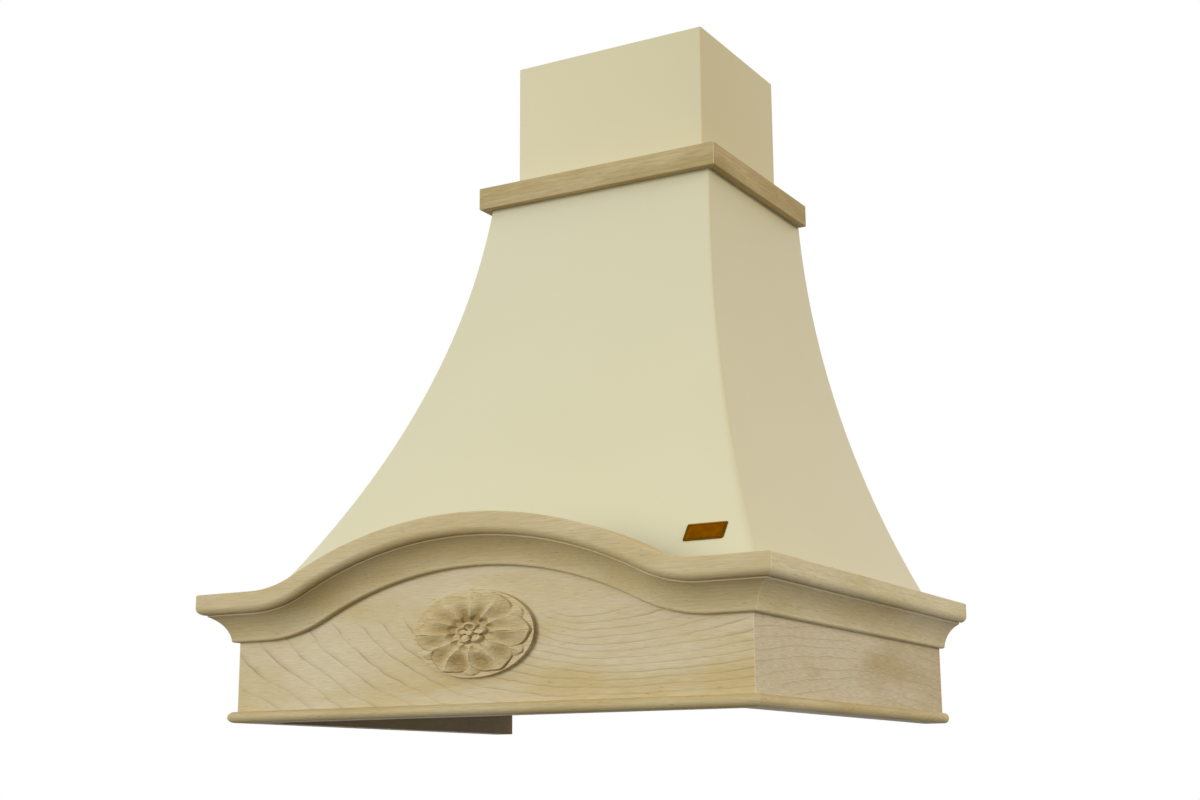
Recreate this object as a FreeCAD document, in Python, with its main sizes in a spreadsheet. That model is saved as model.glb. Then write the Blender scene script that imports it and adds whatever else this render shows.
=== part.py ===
import FreeCAD, Part

import math
import os

import Sketcher

# Wall-hung range hood cover. X runs to the right as seen from the front, -Y points out of the
# wall, +Z up. The origin is on the wall, on the centre line, level with the underside of the
# base frame. Lengths are millimetres, angles degrees.

SIZES = [
    # base frame of three mitred boards
    ("hood_width", 600),            # over the outer faces of the side boards
    ("hood_depth", 504),            # wall to the face of the front board
    ("board_thickness", 22),
    ("top_reveal", 3),              # the boards stop this far below the crown's top
    ("bead_height", 11.5),
    ("bead_projection", 7.6),
    # crown moulding, measured out of the board's face and up from its lower edge
    ("crown_bottom", 84),
    ("crown_height", 49.6),
    ("lip_projection", 6.5),
    ("lip_round", 2.4),
    ("lip_height", 3),
    ("cove_width", 18.5),
    ("cove_rise", 22.5),
    ("cove_radius", 31.5),
    ("fillet_height", 2.7),
    ("soffit_width", 1.7),
    ("fascia_round", 7.3),
    ("crown_edge_round", 1.5),
    # arch of the front crown, along its lower edge
    ("arch_half_span", 261),
    ("arch_rise", 61.4),
    ("arch_crest_radius", 411),
    # carved rosette
    ("rosette_width", 141),
    ("rosette_height", 86),
    ("rosette_centre", 79),
    ("rosette_base", 4),
    ("rosette_relief", 12),
    ("rosette_screw_spacing", 56),
    # inner woodwork of the base
    ("panel_recess", 26),           # underside of the insert panel above the boards' underside
    ("panel_thickness", 12),
    ("panel_clearance", 0.5),
    ("cutout_width", 492),
    ("cutout_depth", 262),
    ("block_size", 30),
    ("cleat_size", 20),
    ("rail_height", 38),
    ("rail_thickness", 22),
    ("dowel_diameter", 8),
    ("dowel_length", 30),
    ("wall_hole_diameter", 6),
    ("rail_hole_spacing", 400),
    # canopy of curved sheet steel
    ("canopy_side_margin", 21),     # at the collar, out from the chimney's side
    ("canopy_front_margin", 27.5),  # at the collar, out from the chimney's front
    ("canopy_wall_gap", 4),
    ("sheet_thickness", 1.5),
    ("flare_radius", 1125),
    ("side_foot_inset", 5.5),       # flare's foot on the side board's top, in from its outer face
    ("front_foot_drop", 3),         # flare's foot on the front board's inner face, below its top
    ("skirt_clearance", 2),         # canopy's straight skirt above the back rail
    ("rim_height", 24),
    ("rim_flange", 15),
    ("back_flange", 20),
    # collar strips
    ("collar_bottom", 612),
    ("collar_height", 27),
    ("collar_thickness", 11),
    ("collar_wall_gap", 8),
    ("top_board_thickness", 18),
    # chimney cover
    ("chimney_width", 250),
    ("chimney_depth", 202),
    ("chimney_wall_gap", 28),
    ("chimney_sheet", 1.2),
    ("chimney_bend", 2),
    ("chimney_return", 15),
    ("chimney_bottom", 440),
    ("chimney_length", 360),
    ("chimney_clearance", 0.5),
    ("rest_depth", 42),
    ("rest_thickness", 18),
    ("rest_clearance", 0.5),
    # wall fixings
    ("hang_cleat_height", 60),
    ("hang_cleat_thickness", 18),
    ("wall_cleat_width", 220),
    ("wall_cleat_height", 55),
    ("wall_cleat_thickness", 18),
    ("cleat_hole_spacing", 180),
    ("bracket_height", 30),
    ("bracket_drop", 12),           # chimney's top edge down to the bracket
    ("bracket_sheet", 1.5),
    ("bracket_hole_spacing", 120),
    # screws
    ("screw_shank", 4),
    ("screw_head", 8),
    ("pan_head_height", 2),
    ("screw_skin", 8),              # wood left in front of a screw's point
    ("crown_screw_lift", 38),       # above the crown's lower edge
    ("skirt_screw_lift", 12),       # above the skirt's lower edge
    # blank badge plate on the canopy
    ("badge_width", 43),
    ("badge_height", 22),
    ("badge_thickness", 0.8),
    ("badge_round", 2),
    ("badge_film", 0.3),            # adhesive pad under the plate
    ("badge_inset", 51),            # centre of the plate in from the right board's inner face
    ("badge_level", 169),           # centre of the plate above the boards' underside
]

doc = FreeCAD.newDocument("hood_cover")
sheet = doc.addObject("Spreadsheet::Sheet", "dim")
for row, (alias, size) in enumerate(SIZES, start=1):
    sheet.set("A%d" % row, alias)
    sheet.set("B%d" % row, str(size))
    sheet.setAlias("B%d" % row, alias)
doc.recompute()

nodes = {}

# Places that several pieces share, as expressions of the sizes above.
HALF_WIDTH = "(dim.hood_width / 2)"
INSIDE_X = "(dim.hood_width / 2 - dim.board_thickness)"
INSIDE_FRONT = "(dim.hood_depth - dim.board_thickness)"
BOARD_TOP = "(dim.crown_bottom + dim.crown_height - dim.top_reveal)"
CROWN_OUT = "(dim.lip_projection + dim.cove_width + dim.soffit_width + dim.fascia_round)"
PANEL_TOP = "(dim.panel_recess + dim.panel_thickness)"
RAIL_TOP = "(dim.panel_recess + dim.panel_thickness + dim.rail_height)"
SKIRT_BOTTOM = f"({RAIL_TOP} + dim.skirt_clearance)"
RIM_TOP = "(dim.collar_bottom + dim.rim_height)"
TOP_BOARD_TOP = f"({RIM_TOP} - dim.sheet_thickness)"
TOP_BOARD_BOTTOM = f"({TOP_BOARD_TOP} - dim.top_board_thickness)"
BACK_FACE = "(dim.canopy_wall_gap + dim.sheet_thickness)"
CHIMNEY_FRONT = "(dim.chimney_wall_gap + dim.chimney_depth)"
HALF_CHIMNEY = "(dim.chimney_width / 2)"
HALF_TOP = f"({HALF_CHIMNEY} + dim.canopy_side_margin)"
TOP_DEPTH = f"({CHIMNEY_FRONT} + dim.canopy_front_margin)"


derived = []


def derive(alias, formula):
    """Adds a size worked out from the others to the sheet; gives the text that names it."""
    derived.append(alias)
    row = len(SIZES) + len(derived)
    sheet.set("A%d" % row, alias)
    sheet.set("B%d" % row, "=" + formula.replace("dim.", ""))
    sheet.setAlias("B%d" % row, alias)
    doc.recompute()
    return "dim." + alias


def number(text):
    """The value of an expression at the present sizes."""
    return float(sheet.evalExpression(str(text)))


def keep(name, piece):
    """Files a finished piece under its own name."""
    piece.Label = name
    nodes[name] = piece
    return piece


# ---------------------------------------------------------------- sketches and prisms

def arc_between(start, end, radius, turn):
    """Arc from start to end, its centre on the left (turn 1) or right (turn -1) of the way."""
    chord = end - start
    half = chord.Length / 2
    left = FreeCAD.Vector(-chord.y, chord.x, 0).normalize()
    centre = (start + end) * 0.5 + left * turn * math.sqrt(max(0.0, radius ** 2 - half ** 2))
    angles = [math.atan2(p.y - centre.y, p.x - centre.x) for p in (start, end)][::turn]
    circle = Part.Circle(centre, FreeCAD.Vector(0, 0, 1), radius)
    return Part.ArcOfCircle(circle, angles[0], angles[1])


def draw(sketch, corners, closed=True):
    """Draws lines and arcs through the corners and dimensions each corner from the origin.

    A corner is (x, y) or (x, y, radius, turn); with a radius, the edge that leaves it is an arc.
    """
    spots = [FreeCAD.Vector(number(corner[0]), number(corner[1]), 0) for corner in corners]
    count = len(corners) if closed else len(corners) - 1
    first = sketch.GeometryCount
    ends = []
    for index, corner in enumerate(corners[:count]):
        start, end = spots[index], spots[(index + 1) % len(spots)]
        turn = 1
        if len(corner) == 2:
            sketch.addGeometry(Part.LineSegment(start, end), False)
        else:
            turn = corner[3]
            sketch.addGeometry(arc_between(start, end, number(corner[2]), turn), False)
            limit(sketch, "Radius", (first + index,), corner[2])
        ends.append((1, 2)[::turn])
    for index in range(count if closed else count - 1):
        after = (index + 1) % count
        joint = (first + index, ends[index][1], first + after, ends[after][0])
        sketch.addConstraint(Sketcher.Constraint("Coincident", *joint))
    for index, corner in enumerate(corners):
        point = (first + index, ends[index][0]) if index < count else (first + count - 1, ends[-1][1])
        limit(sketch, "DistanceX", (-1, 1) + point, corner[0])
        limit(sketch, "DistanceY", (-1, 1) + point, corner[1])


def limit(sketch, kind, where, text):
    """Adds one dimension to a sketch and ties it to its expression."""
    index = sketch.addConstraint(Sketcher.Constraint(kind, *where, number(text)))
    sketch.setExpression("Constraints[%d]" % index, str(text))


def add_sketch(body, plane, outlines, offset="0", closed=True):
    """Sketch on one of the body's own origin planes, moved along the plane's normal."""
    sketch = body.newObject("Sketcher::SketchObject", body.Name + "_sketch")
    support = [item for item in body.Origin.OriginFeatures if item.Role == plane][0]
    sketch.AttachmentSupport = [(support, "")]
    sketch.MapMode = "FlatFace"
    sketch.setExpression("AttachmentOffset.Base.z", str(offset))
    for corners in outlines:
        draw(sketch, corners, closed)
    return sketch


def pad(body, plane, corners, offset, length):
    """Extrudes an outline along the normal of its plane: XY up, XZ out of the wall, YZ right."""
    feature = body.newObject("PartDesign::Pad", body.Name + "_pad")
    feature.Profile = add_sketch(body, plane, [corners], offset)
    feature.setExpression("Length", str(length))
    return feature


def prism(name, plane, corners, offset, length):
    """A body that is one extruded outline."""
    body = doc.addObject("PartDesign::Body", name)
    pad(body, plane, corners, offset, length)
    return body


def pocket(body, plane, outlines):
    """Cuts outlines right through the body, both ways from the plane."""
    doc.recompute()
    before = body.Shape.Volume
    sketch = add_sketch(body, plane, outlines)
    feature = body.newObject("PartDesign::Pocket", body.Name + "_pocket")
    feature.Profile = sketch
    feature.Type = "ThroughAll"
    feature.Midplane = True
    doc.recompute()
    if not body.Shape.Volume < before:
        raise ValueError(body.Name + ": a pocket removed nothing")


def mitre(body, side, corner_x, corner_front, reach, keep_front):
    """Cuts one end at 45 degrees along the line through the corner of the frame."""
    across = f"({corner_x} + {reach})"
    inner = f"({corner_x} - {reach})"
    near = f"-({corner_front} - {reach})"
    far = f"-({corner_front} + {reach})"
    third = (f"{side} * {across}", near) if keep_front else (f"{side} * {inner}", far)
    wedge = [(f"{side} * {inner}", near), (f"{side} * {across}", far), third]
    pocket(body, "XY_Plane", [wedge])


def box(name, x_range, front_range, z_range):
    """Box between two x, two distances in front of the wall and two heights."""
    solid = doc.addObject("Part::Box", name)
    solid.setExpression("Length", f"({x_range[1]}) - ({x_range[0]})")
    solid.setExpression("Width", f"({front_range[1]}) - ({front_range[0]})")
    solid.setExpression("Height", f"({z_range[1]}) - ({z_range[0]})")
    place(solid, (x_range[0], f"-({front_range[1]})", z_range[0]))
    return solid


def place(solid, spot):
    for axis, text in zip("xyz", spot):
        solid.setExpression("Placement.Base." + axis, str(text))


def rod(name, spot, direction, radius, length):
    """Cylinder that starts at a spot and runs along a direction."""
    solid = doc.addObject("Part::Cylinder", name)
    solid.setExpression("Radius", str(radius))
    solid.setExpression("Height", str(length))
    solid.Placement.Rotation = FreeCAD.Rotation(FreeCAD.Vector(0, 0, 1), direction)
    place(solid, spot)
    return solid


def group(name, pieces):
    """Several separate solids that are one named piece of the list."""
    bundle = doc.addObject("Part::Compound", name)
    bundle.Links = pieces
    return bundle


def cut(name, base, tools):
    """The base with the tools' room taken out of it."""
    result = doc.addObject("Part::Cut", name)
    result.Base = base
    result.Tool = tools[0] if len(tools) == 1 else group(name + "_tools", tools)
    return result


def spread(first, last, count):
    """Evenly spaced places between two expressions, both ends included."""
    return [f"(({first}) + (({last}) - ({first})) * {step} / {count - 1})" for step in range(count)]


# ---------------------------------------------------------------- screws and dowels

RIGHT = FreeCAD.Vector(1, 0, 0)
FORWARD = FreeCAD.Vector(0, -1, 0)
UP = FreeCAD.Vector(0, 0, 1)
SHANK = "(dim.screw_shank / 2)"
HEAD = "(dim.screw_head / 2)"


def countersunk_screw(name, spot, direction, length):
    """Wood screw whose flat head lies level with the surface at the spot."""
    shank = rod(name + "_shank", spot, direction, SHANK, length)
    head = doc.addObject("Part::Cone", name + "_head")
    head.setExpression("Radius1", HEAD)
    head.setExpression("Radius2", SHANK)
    head.setExpression("Height", f"{HEAD} - {SHANK}")
    head.Placement.Rotation = shank.Placement.Rotation
    place(head, spot)
    return fuse(name, [shank, head])


def pan_screw(name, spot, direction, length):
    """Screw whose round head stands on the surface at the spot."""
    shank = rod(name + "_shank", spot, direction, SHANK, length)
    raised = [f"({text}) - ({part}) * dim.pan_head_height" for text, part in zip(spot, direction)]
    head = rod(name + "_head", raised, direction, HEAD, "dim.pan_head_height")
    return fuse(name, [shank, head])


def fuse(name, pieces):
    joined = doc.addObject("Part::MultiFuse", name)
    joined.Shapes = pieces
    return joined


def screws(name, kind, sets):
    """One group of like screws. Each set is (spots, direction, length)."""
    made = []
    for spots, direction, length in sets:
        for spot in spots:
            made.append(kind(f"{name}_{len(made) + 1}", spot, direction, length))
    return keep(name, group(name, made))


# ---------------------------------------------------------------- base frame: beads and crown

def bead_profile(face, out):
    """Half-round nosing on a face; out is the sign of the way out of the board."""
    straight = f"{face} + {out} * (dim.bead_projection - dim.bead_height / 2)"
    nose = f"{face} + {out} * dim.bead_projection"
    radius = "dim.bead_height / 2"
    return [(face, "0"), (straight, "0", radius, out), (nose, radius, radius, out),
            (straight, "dim.bead_height"), (face, "dim.bead_height")]


def crown_profile(face, out):
    """Crown section from the back of its lip round to its flat top."""
    cove_top = "dim.lip_height + dim.cove_rise"
    cove_out = "dim.lip_projection + dim.cove_width"
    soffit = f"{cove_top} + dim.fillet_height"
    section = [
        ("0", "0"),
        ("dim.lip_projection - dim.lip_round", "0", "dim.lip_round", 1),
        ("dim.lip_projection", "dim.lip_round"),
        ("dim.lip_projection", "dim.lip_height", "dim.cove_radius", -1),
        (cove_out, cove_top),
        (cove_out, soffit),
        (f"{cove_out} + dim.soffit_width", soffit, "dim.fascia_round", 1),
        (CROWN_OUT, f"{soffit} + dim.fascia_round"),
        (CROWN_OUT, "dim.crown_height - dim.crown_edge_round", "dim.crown_edge_round", 1),
        (f"{CROWN_OUT} - dim.crown_edge_round", "dim.crown_height"),
        ("0", "dim.crown_height"),
    ]
    placed = []
    for across, rise, *bend in section:
        bend = bend and [bend[0], bend[1] * out]
        placed.append((f"{face} + {out} * ({across})", f"dim.crown_bottom + {rise}", *bend))
    return placed


ARCH_SUM = "((dim.arch_half_span ^ 2 + dim.arch_rise ^ 2) / (2 * dim.arch_rise))"
CREST_CENTRE = "(dim.crown_bottom + dim.arch_rise - dim.arch_crest_radius)"


def arch_line(lift, end):
    """The arch from left to right at a lift above the crown's lower edge, ends level.

    Two hollow arcs at the feet meet the round crest arc tangentially; a lift keeps the centres.
    """
    level = f"dim.crown_bottom + {lift}"
    foot = f"({ARCH_SUM} - dim.arch_crest_radius - {lift})"
    crest = f"(dim.arch_crest_radius + {lift})"
    meet_x = f"({crest} * dim.arch_half_span / {ARCH_SUM})"
    meet_z = f"({CREST_CENTRE} + {crest} * ({ARCH_SUM} - dim.arch_rise) / {ARCH_SUM})"
    return [(f"-({end})", level), ("-(dim.arch_half_span)", level, foot, 1),
            (f"-({meet_x})", meet_z, crest, -1), (meet_x, meet_z, foot, 1),
            ("dim.arch_half_span", level), (end, level)]


def beads():
    reach = "dim.bead_projection"
    front = prism("base_bead_front", "YZ_Plane", bead_profile("-(dim.hood_depth)", -1),
                  f"-({HALF_WIDTH} + {reach})", f"2 * ({HALF_WIDTH} + {reach})")
    for side in (-1, 1):
        mitre(front, side, HALF_WIDTH, "dim.hood_depth", "2 * dim.bead_projection", True)
    keep("base_bead_front", front)
    for side, hand in ((-1, "left"), (1, "right")):
        name = "base_bead_" + hand
        bead = prism(name, "XZ_Plane", bead_profile(f"{side} * {HALF_WIDTH}", side),
                     "0", f"dim.hood_depth + {reach}")
        mitre(bead, side, HALF_WIDTH, "dim.hood_depth", "2 * dim.bead_projection", False)
        keep(name, bead)


def crowns(crown_screws):
    """Arched front crown swept along the arch, and the two straight returns."""
    end = f"({HALF_WIDTH} + {CROWN_OUT})"
    front = doc.addObject("PartDesign::Body", "crown_front_blank")
    path = add_sketch(front, "XZ_Plane", [arch_line("0", end)], "dim.hood_depth", closed=False)
    section = add_sketch(front, "YZ_Plane", [crown_profile("-(dim.hood_depth)", -1)], f"-({end})")
    sweep = front.newObject("PartDesign::AdditivePipe", "crown_front_sweep")
    sweep.Profile = section
    sweep.Spine = (path, ["Edge%d" % (edge + 1) for edge in range(path.GeometryCount)])
    reach = f"(2 * {CROWN_OUT})"
    for side in (-1, 1):
        mitre(front, side, HALF_WIDTH, "dim.hood_depth", reach, True)
    keep("crown_front", cut("crown_front", front, [crown_screws]))
    for side, hand in ((-1, "left"), (1, "right")):
        name = "crown_" + hand
        piece = prism(name + "_blank", "XZ_Plane", crown_profile(f"{side} * {HALF_WIDTH}", side),
                      "0", f"dim.hood_depth + {CROWN_OUT}")
        mitre(piece, side, HALF_WIDTH, "dim.hood_depth", reach, False)
        keep(name, cut(name, piece, [crown_screws]))


def crown_screw_group():
    """Screws driven outwards through the boards into the thick top of the crown."""
    length = f"dim.board_thickness + {CROWN_OUT} - dim.screw_skin"
    level = "dim.crown_bottom + dim.crown_screw_lift"
    crest = "(dim.arch_crest_radius + dim.crown_screw_lift)"
    front = [(f"{side} * dim.arch_half_span", f"-{INSIDE_FRONT}", level) for side in (-1, 1)]
    for step in (-0.4, 0, 0.4):
        across = f"({step} * dim.arch_half_span)"
        front.append((across, f"-{INSIDE_FRONT}", f"{CREST_CENTRE} + sqrt({crest} ^ 2 - {across} ^ 2)"))
    places = spread("-0.2 * dim.hood_depth", "-0.8 * dim.hood_depth", 3)
    sets = [(front, FORWARD, length)]
    for side in (-1, 1):
        sets.append(([(f"{side} * {INSIDE_X}", y, level) for y in places], RIGHT * side, length))
    return screws("crown_screws", countersunk_screw, sets)


# ---------------------------------------------------------------- base frame: boards and inner woodwork

def boards(fixings):
    """Front board with the arched top and two side boards, mitred at the front corners."""
    front = prism("front_board_blank", "XZ_Plane",
                  [(HALF_WIDTH, "0"), (f"-{HALF_WIDTH}", "0")]
                  + arch_line("dim.crown_height - dim.top_reveal", HALF_WIDTH),
                  INSIDE_FRONT, "dim.board_thickness")
    for side in (-1, 1):
        mitre(front, side, HALF_WIDTH, "dim.hood_depth", "2 * dim.board_thickness", True)
    keep("front_board", cut("front_board", front, fixings["front"]))
    for side, hand in ((-1, "left"), (1, "right")):
        plan = [(f"{side} * {HALF_WIDTH}", "0"),
                (f"{side} * {HALF_WIDTH}", "-(dim.hood_depth)"),
                (f"{side} * {INSIDE_X}", f"-{INSIDE_FRONT}"),
                (f"{side} * {INSIDE_X}", "0")]
        name = "side_board_" + hand
        blank = prism(name + "_blank", "XY_Plane", plan, "0", BOARD_TOP)
        keep(name, cut(name, blank, fixings["side"]))


def corner_blocks():
    """Square glue blocks in the two front corners, screwed both ways."""
    middle = f"{PANEL_TOP} + dim.rail_height / 2"
    length = "dim.block_size + dim.board_thickness - dim.screw_skin"
    off = "dim.block_size / 2"
    sets = []
    for side in (-1, 1):
        inner_x = f"{side} * ({INSIDE_X} - dim.block_size)"
        inner_y = f"-({INSIDE_FRONT} - dim.block_size)"
        to_side = (inner_x, f"-({INSIDE_FRONT} - {off})", f"{middle} - dim.screw_head")
        to_front = (f"{side} * ({INSIDE_X} - {off})", inner_y, f"{middle} + dim.screw_head")
        sets.append(([to_side], RIGHT * side, length))
        sets.append(([to_front], FORWARD, length))
    fixing = screws("corner_block_screws", countersunk_screw, sets)
    for side, hand in ((-1, "left"), (1, "right")):
        ends = sorted([f"{side} * {INSIDE_X}", f"{side} * ({INSIDE_X} - dim.block_size)"], key=number)
        name = "corner_block_" + hand
        blank = box(name + "_blank", ends, (f"{INSIDE_FRONT} - dim.block_size", INSIDE_FRONT),
                    (PANEL_TOP, RAIL_TOP))
        keep(name, cut(name, blank, [fixing]))
    return fixing


def back_rail(panel_screws):
    """Rail between the side boards at the wall, dowelled at its ends and bored for wall screws."""
    pins = []
    for side in (-1, 1):
        start = f"{side} * {INSIDE_X} - dim.dowel_length / 2"
        for part in (1, 2):
            level = f"{PANEL_TOP} + dim.rail_height * {part} / 3"
            pins.append(rod(f"back_rail_dowel_{len(pins) + 1}", (start, "-(dim.rail_thickness / 2)", level),
                            RIGHT, "dim.dowel_diameter / 2", "dim.dowel_length"))
    dowels = keep("back_rail_dowels", group("back_rail_dowels", pins))
    blank = box("back_rail_blank", (f"-{INSIDE_X}", INSIDE_X), ("0", "dim.rail_thickness"),
                (PANEL_TOP, RAIL_TOP))
    holes = wall_holes("back_rail", "dim.rail_hole_spacing", f"{PANEL_TOP} + dim.rail_height / 2",
                       "dim.rail_thickness")
    keep("back_rail", cut("back_rail", blank, [dowels, panel_screws] + holes))
    return dowels


def wall_holes(name, spacing, level, depth):
    """Two holes for wall screws, right through a piece that starts at the wall."""
    return [rod(f"{name}_hole_{hand}", (f"{side} * {spacing} / 2", "0", level), FORWARD,
                "dim.wall_hole_diameter / 2", depth)
            for side, hand in ((-1, "left"), (1, "right"))]


def panel_screw_group():
    """Screws driven up through the insert panel into the cleats and the back rail."""
    length = "dim.panel_thickness + dim.cleat_size - dim.screw_skin"
    under = "dim.panel_recess"
    side_x = f"({INSIDE_X} - dim.cleat_size / 2)"
    spots = []
    for side in (-1, 1):
        for y in spread("-0.25 * dim.hood_depth", "-0.75 * dim.hood_depth", 2):
            spots.append((f"{side} * {side_x}", y, under))
        spots.append((f"{side} * {INSIDE_X} / 2", f"-({INSIDE_FRONT} - dim.cleat_size / 2)", under))
        spots.append((f"{side} * {INSIDE_X} / 2", "-(dim.rail_thickness / 2)", under))
    return screws("insert_panel_screws", countersunk_screw, [(spots, UP, length)])


def panel_cleats(panel_screws):
    """Battens above the insert panel, screwed to the boards between block and rail."""
    level = f"{PANEL_TOP} + dim.cleat_size / 2"
    length = "dim.cleat_size + dim.board_thickness - dim.screw_skin"
    inner_x = f"({INSIDE_X} - dim.cleat_size)"
    inner_front = f"({INSIDE_FRONT} - dim.cleat_size)"
    block_x = f"({INSIDE_X} - dim.block_size)"
    block_front = f"({INSIDE_FRONT} - dim.block_size)"
    along = spread("-0.15 * dim.hood_depth", "-0.85 * dim.hood_depth", 3)
    across = spread(f"-0.8 * {INSIDE_X}", f"0.8 * {INSIDE_X}", 4)
    sets = [([(x, f"-{inner_front}", level) for x in across], FORWARD, length)]
    for side in (-1, 1):
        sets.append(([(f"{side} * {inner_x}", y, level) for y in along], RIGHT * side, length))
    fixing = screws("panel_cleat_screws", countersunk_screw, sets)
    heights = (PANEL_TOP, f"{PANEL_TOP} + dim.cleat_size")
    front = box("panel_cleat_front_blank", (f"-{block_x}", block_x), (inner_front, INSIDE_FRONT), heights)
    keep("panel_cleat_front", cut("panel_cleat_front", front, [fixing, panel_screws]))
    for side, hand in ((-1, "left"), (1, "right")):
        ends = sorted([f"{side} * {INSIDE_X}", f"{side} * {inner_x}"], key=number)
        name = "panel_cleat_" + hand
        blank = box(name + "_blank", ends, ("dim.rail_thickness", block_front), heights)
        keep(name, cut(name, blank, [fixing, panel_screws]))
    return fixing


def insert_panel(panel_screws):
    """Recessed panel with the cut-out that the built-in extractor hangs in."""
    edge_x = f"({INSIDE_X} - dim.panel_clearance)"
    middle = f"({INSIDE_FRONT} / 2)"
    heights = ("dim.panel_recess", PANEL_TOP)
    blank = box("insert_panel_blank", (f"-{edge_x}", edge_x),
                ("dim.panel_clearance", f"{INSIDE_FRONT} - dim.panel_clearance"), heights)
    opening = box("insert_cutout", ("-(dim.cutout_width / 2)", "dim.cutout_width / 2"),
                  (f"{middle} - dim.cutout_depth / 2", f"{middle} + dim.cutout_depth / 2"),
                  (f"{heights[0]} - 1", f"{heights[1]} + 1"))
    keep("insert_panel", cut("insert_panel", blank, [panel_screws, opening]))


# ---------------------------------------------------------------- rosette

def rosette():
    """Oval plaque with six petals and a domed centre, screwed on through the front board."""
    face = "dim.hood_depth"
    depth = "dim.board_thickness + dim.rosette_base + dim.rosette_relief / 4"
    spots = [(f"{side} * dim.rosette_screw_spacing / 2", f"-{INSIDE_FRONT}", "dim.rosette_centre")
             for side in (-1, 1)]
    fixing = screws("rosette_screws", countersunk_screw, [(spots, FORWARD, depth)])
    plaque = doc.addObject("PartDesign::Body", "rosette_plaque")
    sketch = add_sketch(plaque, "XZ_Plane", [], face)
    oval(sketch)
    base = plaque.newObject("PartDesign::Pad", "rosette_plaque_pad")
    base.Profile = sketch
    base.setExpression("Length", "dim.rosette_base")
    parts = [plaque, mound("rosette_dome", "0", "0", 0, "dim.rosette_width * 0.2",
                           "dim.rosette_height * 0.2", "dim.rosette_relief")]
    for index in range(6):
        angle = 60 * index
        along = f"cos({angle}) * dim.rosette_width * 0.27"
        rise = f"sin({angle}) * dim.rosette_height * 0.27"
        turn = math.degrees(math.atan2(number(rise), number(along)))
        length = f"(abs(cos({angle})) * dim.rosette_width + abs(sin({angle})) * dim.rosette_height) * 0.19"
        parts.append(mound(f"rosette_petal_{index + 1}", along, rise, turn, length,
                           "dim.rosette_height * 0.16", "dim.rosette_relief * 0.8"))
    keep("rosette", cut("rosette", fuse("rosette_carving", parts), [fixing]))
    return fixing


def oval(sketch):
    """Ellipse about the rosette's centre, its two half axes and its centre dimensioned."""
    centre = FreeCAD.Vector(0, number("dim.rosette_centre"), 0)
    half = (number("dim.rosette_width / 2"), number("dim.rosette_height / 2"))
    shape = Part.Ellipse(centre, half[0], half[1])
    sketch.addGeometry(shape, False)
    sketch.exposeInternalGeometry(0)
    limit(sketch, "Distance", (1,), "dim.rosette_width")
    limit(sketch, "Distance", (2,), "dim.rosette_height")
    sketch.addConstraint(Sketcher.Constraint("Horizontal", 1))
    limit(sketch, "DistanceX", (-1, 1, 0, 3), "0")
    limit(sketch, "DistanceY", (-1, 1, 0, 3), "dim.rosette_centre")


def mound(name, along, rise, turn, half_length, half_width, height):
    """Half ellipsoid standing on the front board's face, its long axis turned in the face."""
    solid = doc.addObject("Part::Ellipsoid", name)
    solid.Angle1 = 0
    solid.setExpression("Radius1", height)
    solid.setExpression("Radius2", half_length)
    solid.setExpression("Radius3", half_width)
    solid.Placement.Rotation = FreeCAD.Rotation(FORWARD, turn) * FreeCAD.Rotation(RIGHT, 90)
    place(solid, (along, "-(dim.hood_depth)", f"dim.rosette_centre + {rise}"))
    return solid


# ---------------------------------------------------------------- canopy

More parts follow.
